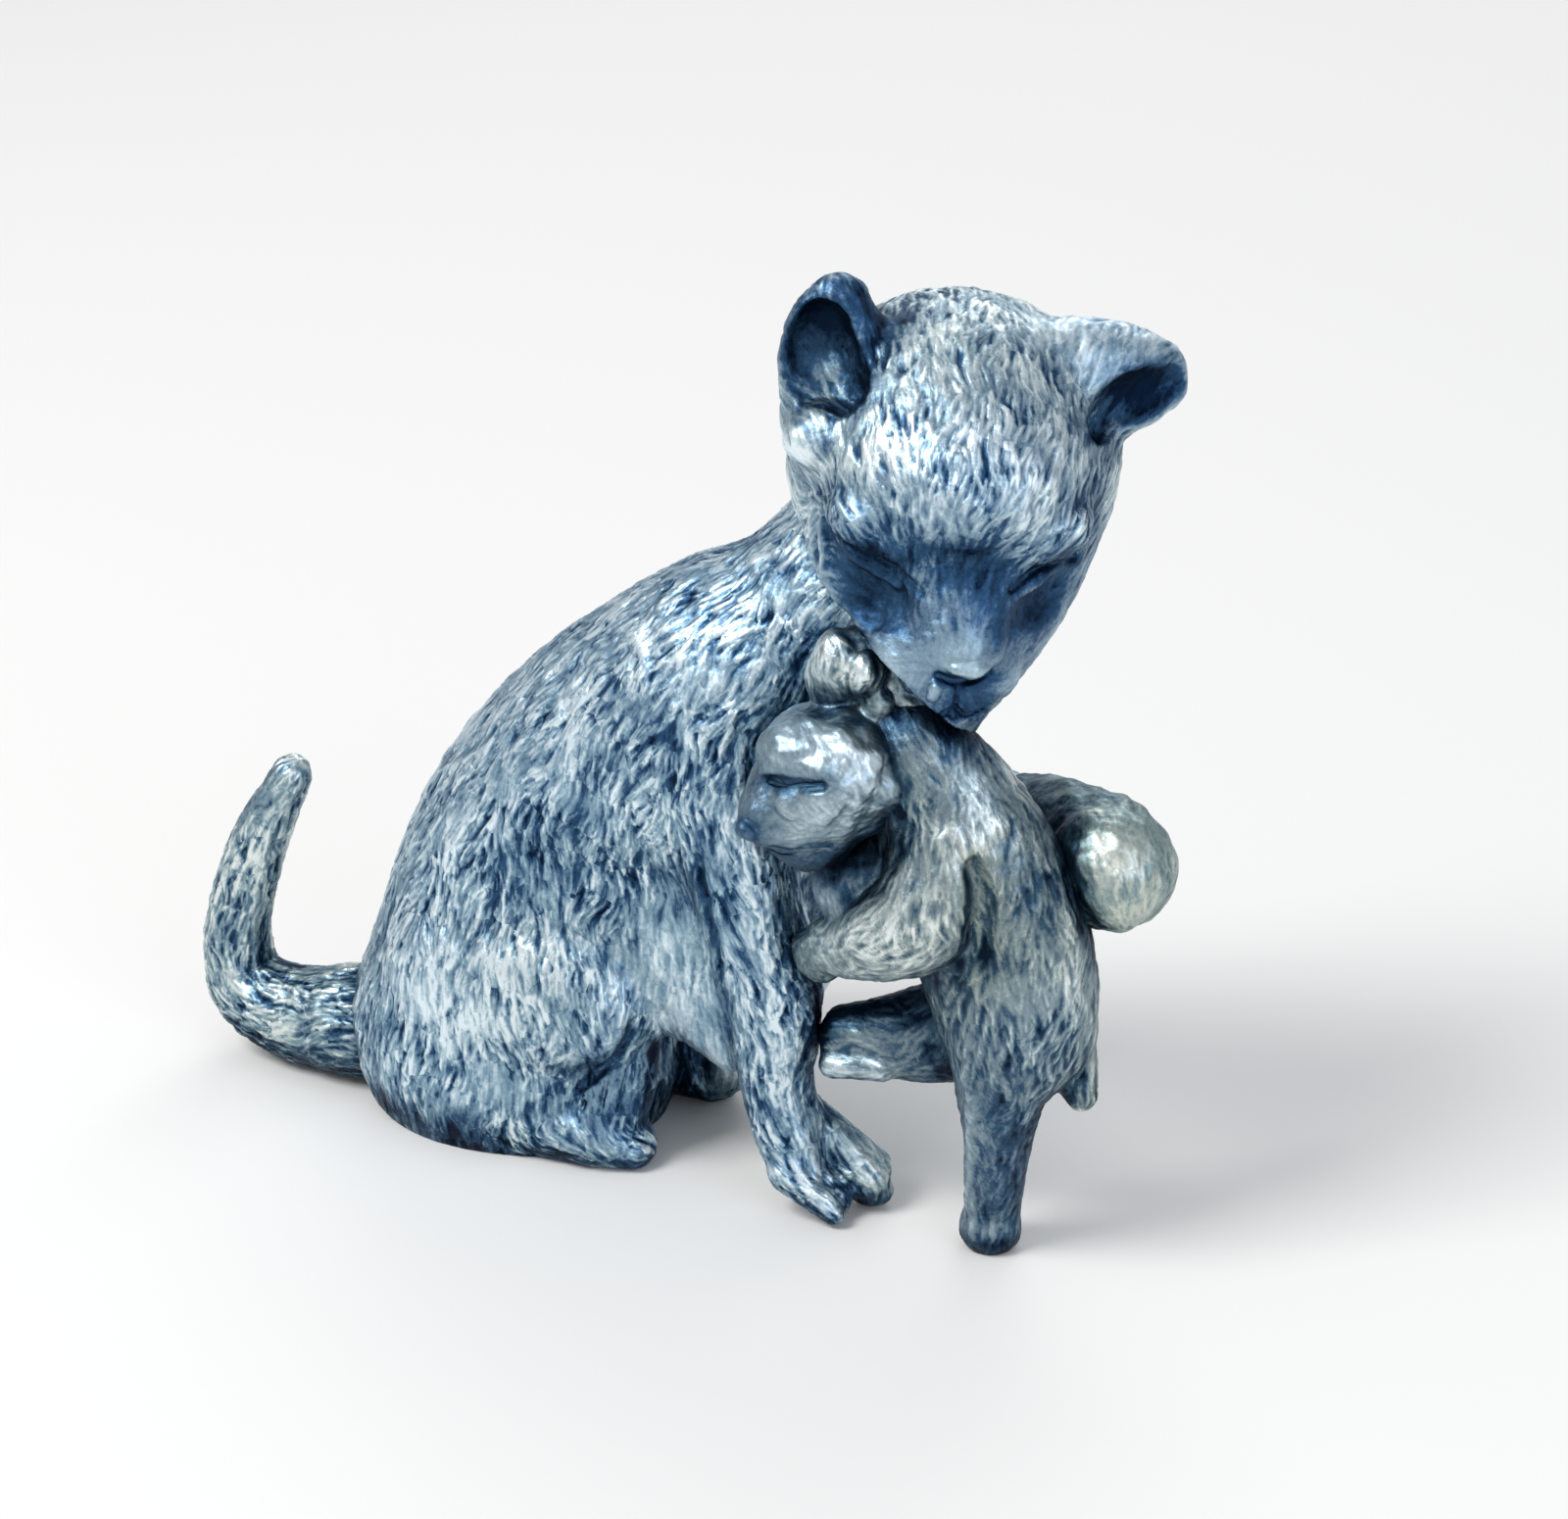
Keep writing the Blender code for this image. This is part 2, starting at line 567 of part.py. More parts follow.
def rod(seat, axis, before, beyond, diameter):
    """Form of a round bar through a seat, from before it to beyond it on the axis."""
    def form(shape):
        middle = seat + axis * (beyond - before) / 2
        placed = Matrix.Translation(middle) @ axis.to_track_quat("Z", "Y").to_matrix().to_4x4()
        bmesh.ops.create_cone(shape, cap_ends=True, segments=SECTION_SIDES, radius1=diameter / 2,
                              radius2=diameter / 2, depth=before + beyond, matrix=placed)
    return form


def shelf_block(shape):
    """Block that fills the space below the shelf."""
    span = 4 * BODY_HEIGHT
    placed = Matrix.Translation((0.0, 0.0, -span / 2)) @ Matrix.Diagonal((span, span, span, 1.0))
    bmesh.ops.create_cube(shape, size=1.0, matrix=placed)


def bed(piece, *rooms):
    """Hollow a piece's seats so that it beds on its neighbours with room for solder."""
    for room in rooms:
        cut(piece, room)


def peg_joint(pegged, holed, home, label, seat, axis, diameter, length):
    """Cast a peg on one piece, pointing along the axis, and drill its socket in the other."""
    peg = cutter(f"{label}_peg", home, rod(seat, axis, diameter, length, diameter))
    hole = cutter(f"{label}_socket", home,
                  rod(seat, axis, diameter / 2, length + SOLDER_GAP, diameter + 2 * SOLDER_GAP))
    cut(pegged, peg, "UNION")
    cut(holed, hole)


def white_metal(name, colour, roughness):
    """Aged white metal, a little darker or duller from casting to casting."""
    finish = bpy.data.materials.new(name)
    finish.use_nodes = True
    shader = finish.node_tree.nodes["Principled BSDF"]
    shader.inputs["Base Color"].default_value = (*colour, 1.0)
    shader.inputs["Metallic"].default_value = 1.0
    shader.inputs["Roughness"].default_value = roughness
    return finish


def clear_scene():
    """Remove the objects that the scene starts with."""
    for old in list(bpy.data.objects):
        bpy.data.objects.remove(old)


def near_and_far(form):
    """Form made on both sides of the mother."""
    def both(shape):
        for side in (-1, 1):
            form(shape, side)
    return both


def build():
    """Cast the six pieces, bed them into each other and peg them together."""
    clear_scene()
    group = collection("cat_and_kitten")
    tools = collection("cutters")

    mother_body = solid("mother_body", group, trunk, near_and_far(shoulder),
                        near_and_far(hind_leg), foreleg)
    flanks = cutter("flank_hollows", tools, near_and_far(flank_hollow))
    skin(mother_body)
    skin(flanks)
    cut(mother_body, flanks)
    skin(mother_body)
    soften(mother_body, BODY_BLENDS)

    mother_head = solid("mother_head", group, skull, upright_ear, spread_ear)
    hollows = cutter("ear_and_eye_hollows", tools, ear_hollows, near_and_far(eye_socket))
    features = cutter("face", tools, face)
    for fused in (mother_head, hollows, features):
        skin(fused)
    cut(mother_head, hollows)
    cut(mother_head, features, "UNION")
    skin(mother_head)
    soften(mother_head, HEAD_BLENDS)

    mother_tail = solid("mother_tail", group, tail_form)
    skin(mother_tail)
    soften(mother_tail, LIMB_BLENDS)

    far_arm = solid("mother_far_foreleg", group, far_foreleg)
    skin(far_arm)
    soften(far_arm, LIMB_BLENDS)

    kitten_body = solid("kitten_body", group, kitten_trunk, kitten_legs, kitten_arm)
    skin(kitten_body)
    soften(kitten_body, KITTEN_BLENDS)

    kitten_face = solid("kitten_head", group, kitten_skull)
    skin(kitten_face)
    soften(kitten_face, KITTEN_HEAD_BLENDS)

    body_room, head_room, arm_room, face_room = (
        allowance(piece, tools) for piece in (mother_body, mother_head, far_arm, kitten_face))
    for piece, share in ((mother_body, BODY_FACETS), (mother_head, HEAD_FACETS),
                         (mother_tail, LIMB_FACETS), (far_arm, LIMB_FACETS),
                         (kitten_body, KITTEN_FACETS), (kitten_face, KITTEN_FACETS)):
        facet(piece, share)

    bed(mother_tail, body_room)
    bed(far_arm, body_room)
    bed(kitten_face, body_room, head_room)
    bed(kitten_body, body_room, head_room, arm_room, face_room)

    collar = 1.5 * NECK_GIRTH
    above_neck = cutter("above_neck_seat", tools, rod(NECK_SEAT, NECK_AXIS, 0.0, collar, collar))
    below_neck = cutter("below_neck_seat", tools,
                        rod(NECK_SEAT + SOLDER_GAP * NECK_AXIS, NECK_AXIS, collar, 0.0, collar))
    cut(mother_body, above_neck)
    cut(mother_head, below_neck)

    below_shelf = cutter("below_shelf", tools, shelf_block)
    for piece in (mother_body, mother_tail, kitten_body):
        cut(piece, below_shelf)

    peg_joint(mother_head, mother_body, tools, "neck", NECK_SEAT, -NECK_AXIS,
              NECK_PEG_DIAMETER, NECK_PEG_LENGTH)
    peg_joint(mother_tail, mother_body, tools, "tail", TAIL_SEAT, TAIL_AXIS,
              TAIL_PEG_DIAMETER, TAIL_PEG_LENGTH)
    peg_joint(far_arm, mother_body, tools, "arm", ARM_SEAT, ARM_AXIS,
              ARM_PEG_DIAMETER, ARM_PEG_LENGTH)
    peg_joint(kitten_body, mother_body, tools, "foot", FOOT_SEAT, FOOT_AXIS,
              KITTEN_PEG_DIAMETER, KITTEN_PEG_LENGTH)
    peg_joint(kitten_face, kitten_body, tools, "nape", NAPE_SEAT, NAPE_AXIS,
              KITTEN_PEG_DIAMETER, KITTEN_PEG_LENGTH)

    finishes = {
        mother_body: white_metal("white_metal_body", (0.33, 0.36, 0.41), 0.42),
        mother_head: white_metal("white_metal_head", (0.36, 0.39, 0.44), 0.40),
        mother_tail: white_metal("white_metal_tail", (0.31, 0.34, 0.39), 0.44),
        far_arm: white_metal("white_metal_foreleg", (0.35, 0.37, 0.40), 0.48),
        kitten_body: white_metal("white_metal_kitten", (0.34, 0.37, 0.41), 0.43),
        kitten_face: white_metal("white_metal_kitten_head", (0.38, 0.40, 0.43), 0.38),
    }
    for piece, finish in finishes.items():
        piece.data.materials.append(finish)
        piece.data.shade_smooth()


build()
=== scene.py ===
"""Dressed model of a small ornament: a mother cat who bows over her kitten.

The group is cast in white metal, darkened in the grooves of its fur and rubbed
bright on every high stroke. Light and shade are also painted into its colour:
darker in creases, between and under the parts, near the shelf and on faces
turned from the light, and lighter on one whisker pad towards the key light.
Each casting is one implicit surface: oval sections carried along curves and
oval balls, joined with rounded creases, sampled on a grid and skinned. The fur
is then laid on it stroke by stroke along the way it is combed. Sizes inside the
classes are millimetres in the frame of the solids.
"""

import logging
import math
from collections.abc import Iterator
from dataclasses import dataclass, field
from enum import Enum
from itertools import product

import bpy
import numpy as np
from mathutils import Matrix, Vector


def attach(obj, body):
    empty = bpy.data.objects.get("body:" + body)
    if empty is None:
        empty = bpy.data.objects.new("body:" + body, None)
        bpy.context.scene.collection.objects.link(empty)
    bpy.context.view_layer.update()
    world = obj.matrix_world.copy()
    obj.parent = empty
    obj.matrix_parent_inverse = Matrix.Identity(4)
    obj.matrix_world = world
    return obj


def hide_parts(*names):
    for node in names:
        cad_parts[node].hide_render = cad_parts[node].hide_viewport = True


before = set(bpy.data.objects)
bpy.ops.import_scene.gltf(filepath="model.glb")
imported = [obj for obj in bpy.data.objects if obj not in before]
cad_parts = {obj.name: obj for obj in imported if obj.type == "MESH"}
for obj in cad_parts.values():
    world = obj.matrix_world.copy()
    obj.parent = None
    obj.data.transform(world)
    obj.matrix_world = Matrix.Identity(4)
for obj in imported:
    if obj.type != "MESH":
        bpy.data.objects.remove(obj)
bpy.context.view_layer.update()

Points = np.ndarray
Values = np.ndarray
Triple = tuple[float, float, float]

LOG = logging.getLogger("cat")
MM = 0.001              # metres in a millimetre
FAR = 50.0              # farther off than any form
FELT = 1.6              # how far past its box a form is still felt
LEAST = 1e-6            # keeps a divisor off nought
CURVE_SPANS = 5         # straight spans between two stations
BLOCK = 4               # samples along a side of a block of the grid
RAY_START, RAY_LENGTH, RAY_STEP = 13.0, 18.0, 0.04
ACROSS, UPRIGHT = (0.0, 1.0, 0.0), (0.0, 0.0, 1.0)
NAPE = (-0.5, -0.1, -0.86)


class Role(Enum):
    """How a form joins the casting."""

    ADD = "add"
    CARVE = "carve"


class Comb(Enum):
    """Which way the fur of a form lies."""

    ALONG = "along the limb, towards its last station"
    LEAN = "everywhere the same way"
    AWAY = "away from a point"


def unit(rows: Points) -> Points:
    """Rows scaled to length one."""
    return rows / np.maximum(np.linalg.norm(rows, axis=-1, keepdims=True), 1e-9)


def dot(rows: Points, others: Points) -> Values:
    """Product of each row with its fellow."""
    return np.einsum("ij,ij->i", rows, others)


def smooth_union(one: Values, other: Values, blend: float) -> Values:
    """Join two distance fields and round the crease between them.

    The lesser of the two, less the cube of their overlap within the blend.

    Args:
        one: Signed distances to the first form.
        other: Signed distances to the second form.
        blend: Width of the rounded crease.

    Returns:
        Signed distances to the joined form.
    """
    overlap = np.maximum(blend - np.abs(one - other), 0.0) / blend
    return np.minimum(one, other) - overlap**3 * blend / 6


@dataclass(frozen=True)
class Pose:
    """Place of a set of local coordinates, and its three turns in degrees."""

    centre: Triple = (0.0, 0.0, 0.0)
    turn: float = 0.0
    nod: float = 0.0
    tilt: float = 0.0

    def axes(self) -> Points:
        """Columns: the way it looks, its left side, its crown."""
        turned = (Matrix.Rotation(math.radians(self.turn), 3, "Z")
                  @ Matrix.Rotation(math.radians(self.nod), 3, "Y")
                  @ Matrix.Rotation(math.radians(self.tilt), 3, "X"))
        return np.array(turned)

    def point(self, *local: float) -> Triple:
        """World place of a local point."""
        return tuple(float(v) for v in np.array(self.centre) + self.axes() @ np.array(local))

    def side(self) -> Triple:
        """World direction of the local y axis."""
        return tuple(float(v) for v in self.axes()[:, 1])


@dataclass(frozen=True)
class Form:
    """One modelled mass: how it joins the others, how its fur lies, and how bare its metal is, which on some
    masses is set to paint light and shade.
    """

    blend: float = 1.0
    role: Role = Role.ADD
    fur: float = 1.0
    rub: float = 0.0
    warm: float = 0.0
    comb: Comb = Comb.ALONG
    lean: Triple = (0.0, 0.0, -1.0)

    def measure(self, points: Points) -> tuple[Values, Points]:
        """Signed distance to the form and its own direction at each point."""
        raise NotImplementedError

    def box(self) -> tuple[Points, Points]:
        """Lowest and highest corner."""
        raise NotImplementedError

    def near(self, points: Points, margin: float) -> Values:
        """Which points lie within a margin of the form's box."""
        low, high = self.box()
        return np.all((points > low - margin) & (points < high + margin), axis=1)

    def join(self, gap: Values, own: Values) -> Values:
        """Distances after the form is added or carved."""
        if self.role is Role.CARVE:
            return -smooth_union(-gap, own, self.blend)
        return smooth_union(gap, own, self.blend)

    def combed(self, points: Points, path: Points) -> Points:
        """Direction of the fur, before it is laid on the surface."""
        if self.comb is Comb.LEAN:
            return np.broadcast_to(np.array(self.lean, np.float32), points.shape)
        if self.comb is Comb.AWAY:
            return unit(points - np.array(self.lean, np.float32))
        return path


@dataclass(frozen=True)
class Limb(Form):
    """Oval section carried along a round curve and rounded off at both ends.

    A station is x, y, z, half width along side, half depth. The curve between
    stations is a Catmull-Rom cubic. Distance is measured to each short straight
    span, in the metric of its own oval.
    """

    stations: tuple[tuple[float, ...], ...] = ()
    side: Triple = (0.0, 1.0, 0.0)

    def path(self) -> Points:
        """Rows of the curve: place and both half sizes."""
        rows = np.array(self.stations)
        if len(rows) == 2:
            return rows
        padded = np.vstack([2 * rows[0] - rows[1], rows, 2 * rows[-1] - rows[-2]])
        steps = np.linspace(0.0, 1.0, CURVE_SPANS, endpoint=False)[:, None]
        spans = []
        for start in range(1, len(padded) - 2):
            a, b, c, d = padded[start - 1:start + 3]
            bend = (2 * a - 5 * b + 4 * c - d) * steps**2 + (3 * b - 3 * c + d - a) * steps**3
            spans.append(0.5 * (2 * b + (c - a) * steps + bend))
        return np.vstack([*spans, rows[-1:]])

    def box(self) -> tuple[Points, Points]:
        """Lowest and highest corner, from the stations and their larger half size."""
        path = self.path()
        reach = path[:, 3:5].max(axis=1, keepdims=True)
        return (path[:, :3] - reach).min(axis=0), (path[:, :3] + reach).max(axis=0)

    def measure(self, points: Points) -> tuple[Values, Points]:
        """Least distance over the spans, and the direction of the nearest span."""
        path = self.path().astype(np.float32)
        gap = np.full(len(points), FAR, np.float32)
        lie = np.zeros((len(points), 3), np.float32)
        for start, end in zip(path[:-1], path[1:]):
            span = end[:3] - start[:3]
            length = max(float(np.linalg.norm(span)), LEAST)
            along = span / length
            lean = along * float(along @ np.array(self.side))
            aside = unit(np.array(self.side) - lean).astype(np.float32)
            over = np.cross(along, aside)
            offset = points - start[:3]
            reach = offset @ along
            share = np.clip(reach / length, 0.0, 1.0)
            width = start[3] + share * (end[3] - start[3])
            depth = start[4] + share * (end[4] - start[4])
            s, o, e = offset @ aside, offset @ over, reach - share * length
            cap = np.minimum(width, depth)
            near = np.sqrt((s / width)**2 + (o / depth)**2 + (e / cap)**2) + LEAST
            slope = np.sqrt((s / width**2)**2 + (o / depth**2)**2 + (e / cap**2)**2) + LEAST
            own = near * (near - 1.0) / slope
            closer = own < gap
            gap[closer] = own[closer]
            lie[closer] = along
        return gap, lie


@dataclass(frozen=True)
class Ball(Form):
    """Oval ball: centre, three half sizes, and the columns of its axes."""

    centre: Triple = (0.0, 0.0, 0.0)
    halves: Triple = (1.0, 1.0, 1.0)
    axes: tuple[Triple, Triple, Triple] = ((1.0, 0.0, 0.0), (0.0, 1.0, 0.0), (0.0, 0.0, 1.0))
    comb: Comb = Comb.LEAN

    def box(self) -> tuple[Points, Points]:
        """Lowest and highest corner of the ball's own bounding sphere."""
        return np.array(self.centre) - max(self.halves), np.array(self.centre) + max(self.halves)

    def measure(self, points: Points) -> tuple[Values, Points]:
        """Distance in the metric of the oval: k (k - 1) over the slope of k."""
        local = (points - np.array(self.centre, np.float32)) @ np.array(self.axes, np.float32)
        halves = np.array(self.halves, np.float32)
        near = np.linalg.norm(local / halves, axis=1) + LEAST
        slope = np.linalg.norm(local / halves**2, axis=1) + LEAST
        lie = np.broadcast_to(np.array(self.lean, np.float32), points.shape)
        return near * (near - 1.0) / slope, lie


@dataclass(frozen=True)
class Slice(Form):
    """Everything beyond a plane, carved away."""

    seat: Triple = (0.0, 0.0, 0.0)
    axis: Triple = (0.0, 0.0, 1.0)
    role: Role = Role.CARVE
    blend: float = 0.05

    def box(self) -> tuple[Points, Points]:
        """The plane has no end."""
        return np.full(3, -FAR), np.full(3, FAR)

    def measure(self, points: Points) -> tuple[Values, Points]:
        """Height below the plane."""
        axis = unit(np.array(self.axis)).astype(np.float32)
        gap = -((points - np.array(self.seat, np.float32)) @ axis)
        return gap, np.broadcast_to(axis, points.shape)


def joined(forms: list[Form], points: Points, margin: float = FELT) -> Values:
    """Signed distance to the forms, joined and carved in their order.

    Args:
        forms: Forms in the order they are modelled.
        points: Places.
        margin: How far past its box a form is still felt.

    Returns:
        One distance for each place.
    """
    gap = np.full(len(points), FAR, np.float32)
    for form in forms:
        near = np.flatnonzero(form.near(points, margin))
        if len(near):
            own, _ = form.measure(points[near])
            gap[near] = form.join(gap[near], own)
    return gap


@dataclass
class Mould:
    """Forms of one casting in the order they are modelled, and its local coordinates."""

    pose: Pose = Pose()
    forms: list[Form] = field(default_factory=list)

    def ball(self, blend: float, centre: Triple, halves: Triple, both: bool = False, **look: object) -> None:
        """Model an oval ball that is turned as the mould is.

        Args:
            blend: Width of the rounded crease round it.
            centre: Local place.
            halves: Half sizes along the local axes.
            both: Whether its mirror image across the plane y = 0 is modelled too.
            look: How it joins and how its fur lies, by the names of Form's fields.
        """
        x, y, z = centre
        axes = tuple(tuple(float(v) for v in row) for row in self.pose.axes())
        for sign in (1, -1)[:1 + both]:
            place = self.pose.point(x, sign * y, z)
            self.forms.append(Ball(blend=blend, centre=place, halves=halves, axes=axes, **look))

    def limb(self, blend: float, *stations: tuple[float, ...], both: bool = False,
             side: Triple | None = None, **look: object) -> None:
        """Model an oval section carried along stations.

        Args:
            blend: Width of the rounded crease round it.
            stations: Local x, y, z, half width along side and half depth of each.
            both: Whether its mirror image across the plane y = 0 is modelled too.
            side: World direction of the width, if it isn't the mould's own side.
            look: How it joins and how its fur lies, by the names of Form's fields.
        """
        side = side or self.pose.side()
        for sign in (1, -1)[:1 + both]:
            placed = tuple((*self.pose.point(x, sign * y, z), *halves) for x, y, z, *halves in stations)
            self.forms.append(Limb(blend=blend, side=side, stations=placed, **look))

    def touch(self, starts: Points, way: Points) -> Points:
        """First places where lines from the starts, along a way, meet the forms so far."""
        reach = np.arange(0.0, RAY_LENGTH, RAY_STEP)[:, None]
        rays = starts[:, None] + reach * way
        gap = joined(self.forms, rays.reshape(-1, 3).astype(np.float32)).reshape(len(starts), -1)
        return rays[np.arange(len(starts)), np.argmax(gap < 0, axis=1)]

    def etch(self, rows: tuple[tuple[float, float], ...], radius: float, way: Triple = (-1, 0, 0),
             role: Role = Role.CARVE, blend: float = 0.12, fur: float = 0.2, sink: float = 0.0,
             rub: float = 0.0) -> None:
        """Narrow line that follows the skin, cut as a crease or laid on as a lock.

        Args:
            rows: Two local coordinates of each station, across the way it is looked at.
            radius: Half thickness in the middle; the ends are about two thirds of it.
            way: Local direction in which the line is seen, along one axis.
            role: Cut or laid on.
            blend: Width of the rounded edge.
            fur: Depth of the fur on the line.
            sink: How far the line lies below the skin.
            rub: How far the patina is rubbed off it; below nought it darkens the line, on some lines as
                painted shade.
        """
        axis = int(np.argmax(np.abs(way)))
        starts = np.insert(np.array(rows, float), axis, -RAY_START * way[axis], axis=1)
        turned = self.pose.axes()
        look = turned @ np.array(way, float)
        places = self.touch(np.array(self.pose.centre) + starts @ turned.T, look) + sink * look
        taper = radius * (0.5 + 0.5 * np.sin(np.pi * np.linspace(0.12, 0.88, len(places))))
        stations = tuple((*place, r, r) for place, r in zip(places, taper))
        self.forms.append(Limb(blend=blend, role=role, fur=fur, rub=rub, stations=stations))


def skin_of(values: Values, low: Points, step: float) -> tuple[Points, Points]:
    """Closed skin where a sampled field crosses nought.

    Each grid cell that the surface passes through gets one point, the mean of the
    places where the cell's twelve edges cross nought. Each grid edge that crosses
    nought joins the four cells round it with one face, wound to face outwards.

    Args:
        values: Field on a regular grid, negative inside.
        low: Place of the grid's first sample.
        step: Spacing of the grid.

    Returns:
        The points, and the four point numbers of each face.
    """
    inside = values < 0
    along = np.eye(3, dtype=int)
    corners = list(product((0, 1), repeat=3))
    cell_shape = tuple(n - 1 for n in values.shape)
    count = np.zeros(cell_shape, np.uint8)
    for i, j, k in corners:
        count += inside[i:i + cell_shape[0], j:j + cell_shape[1], k:k + cell_shape[2]]
    crossed = (count > 0) & (count < len(corners))
    number = np.full(cell_shape, -1, np.int32)
    number[crossed] = np.arange(crossed.sum())
    cells = np.argwhere(crossed)
    place = np.zeros((len(cells), 3))
    hits = np.zeros((len(cells), 1))
    for axis in range(3):
        for corner in corners:
            if corner[axis]:
                continue
            first = cells + corner
            second = first + along[axis]
            a, b = values[tuple(first.T)], values[tuple(second.T)]
            cross = ((a < 0) != (b < 0))[:, None]
            share = (a / np.where(a == b, 1.0, a - b))[:, None]
            place += np.where(cross, first + share * along[axis], 0.0)
            hits += cross
    points = low + step * place / np.maximum(hits, 1)
    faces = []
    for axis, (b, c) in enumerate(((1, 2), (2, 0), (0, 1))):
        lower, upper = [slice(1, -1)] * 3, [slice(1, -1)] * 3
        lower[axis], upper[axis] = slice(0, -1), slice(1, None)
        edges = np.argwhere(inside[tuple(lower)] != inside[tuple(upper)])
        edges += 1 - along[axis]
        outward = inside[tuple(edges.T)]
        ring = [edges - along[b] - along[c], edges - along[c], edges, edges - along[b]]
        quad = np.stack([number[tuple(cell.T)] for cell in ring], axis=1)
        faces.append(np.where(outward[:, None], quad, quad[:, ::-1]))
    return points, np.vstack(faces)


@dataclass(frozen=True)
class Waves:
    """Slow unevenness between -1 and 1: sine waves in chance directions."""

    length: float
    seed: int
    number: int = 12

    def at(self, points: Points) -> Values:
        """One value for each place."""
        rng = np.random.default_rng(self.seed)
        ways = unit(rng.normal(size=(self.number, 3))) * rng.uniform(0.6, 1.6, (self.number, 1))
        ways = ways * math.tau / self.length
        return np.sin(points @ ways.T + rng.uniform(0, math.tau, self.number)).sum(axis=1) / 5.0


SWIRL, CURL = Waves(4.5, 3), Waves(1.3, 4)
THICKNESS, SWELL, PITS, PATCHES = Waves(3.4, 31), Waves(1.7, 8), Waves(0.55, 9), Waves(4.0, 21)


@dataclass(frozen=True)
class Strokes:
    """Fur as the tool leaves it: short tapered ridges that overlap like shingles.

    Scatter is in degrees. Each pair holds the least and the greatest share of the
    length, of the width and of the full height.
    """

    half_length: float = 0.8
    half_width: float = 0.19
    spacing: float = 0.36
    scatter: float = 12.0
    seed: int = 5
    lengths: tuple[float, float] = (0.65, 1.3)
    widths: tuple[float, float] = (0.75, 1.3)
    rises: tuple[float, float] = (0.55, 1.0)
    bend: float = 0.35
    narrowing: float = 0.35
    depth: float = 0.6

    def reached(self, points: Points, seeds: Values) -> Iterator[tuple[Values, Values]]:
        """Points that each stroke may reach, one neighbouring cell of space at a time.

        Args:
            points: Places on the surface.
            seeds: Number of the point at which each stroke sits.

        Yields:
            Numbers of strokes, and the number of a point near each.
        """
        cell = max(self.lengths) * self.half_length
        base = points.min(axis=0) - 2 * cell
        home = np.floor((points - base) / cell).astype(np.int64)
        spread = np.array([1, 4096, 4096**2])
        key = home @ spread
        order = np.argsort(key)
        for step in product((-1, 0, 1), repeat=3):
            wanted = key[seeds] + np.array(step) @ spread
            first = np.searchsorted(key[order], wanted)
            counts = np.searchsorted(key[order], wanted, side="right") - first
            stroke = np.repeat(np.arange(len(seeds)), counts)
            if len(stroke):
                starts = np.repeat(first - np.cumsum(counts) + counts, counts)
                yield stroke, order[np.arange(len(stroke)) + starts]

    def heights(self, points: Points, normals: Points, flow: Points, area: float) -> Values:
        """Height of the highest ridge over each point, from nought to one.

        A ridge is nearly a parabola across, widest near its root, and rises along
        its length to a blunt tip. Ridges sit at chance points of the surface, each
        turned and bent a little from the way the fur is combed.

        Args:
            points: Places on the surface.
            normals: Directions out of the surface.
            flow: Directions of the fur along the surface.
            area: Area of the whole surface.

        Returns:
            One height for each place.
        """
        rng = np.random.default_rng(self.seed)
        number = min(len(points), int(area / self.spacing**2))
        seeds = rng.choice(len(points), number, replace=False)
        turn = np.radians(rng.normal(0, self.scatter, number))[:, None]
        out = normals[seeds]
        along = np.cos(turn) * flow[seeds] + np.sin(turn) * np.cross(out, flow[seeds])
        aside = np.cross(out, along)
        length = self.half_length * rng.uniform(*self.lengths, number)
        width = self.half_width * rng.uniform(*self.widths, number)
        rise = rng.uniform(*self.rises, number)
        curve = rng.normal(0, self.bend, number)
        result = np.zeros(len(points), np.float32)
        for stroke, vertex in self.reached(points, seeds):
            offset = points[vertex] - points[seeds[stroke]]
            x = dot(offset, along[stroke]) / length[stroke]
            y = dot(offset, aside[stroke]) / width[stroke]
            deep = np.abs(dot(offset, out[stroke]))
            y = (y - curve[stroke] * (x * x - 0.3)) / (1.0 - self.narrowing * x)
            inside = (np.abs(x) < 1) & (np.abs(y) < 1) & (deep < self.depth)
            x, y = x[inside], y[inside]
            lift = rise[stroke[inside]] * (1 - np.abs(y)**1.5) * (1 - x**4) * (0.7 + 0.3 * x)
            np.maximum.at(result, vertex[inside], lift.astype(np.float32))
        return result


@dataclass(frozen=True)
class RubbingAndShading:
    """How bare the metal is rubbed, from nought to one: what each cause adds or takes.

    The mean is the height of a stroke at which the stroke and tuft terms neither add
    nor take. The hollow weight darkens closed-in places, as patina in the hollows and
    as painted shade in creases and under the parts; the last weight warms them brown
    the same way, as tarnished metal and as painted shade.
    """

    plain: float = 0.56
    strokes: float = 0.7
    tufts: float = 0.3
    mean: float = 0.42
    hollow: float = 0.36
    patches: float = 0.08
    tarnish_and_shade: float = 0.3

    def wear_and_shading(self, depth: Values, fine: Values, broad: Values, rub: Values, hollow: Values) -> Values:
        """Share of bare metal, lowered by patina and painted shade in closed-in places, before the slow
        patches are added.
        """
        return (self.plain + rub + self.strokes * depth * (fine - self.mean)
                + self.tufts * depth * (broad - self.mean) - self.hollow * hollow)


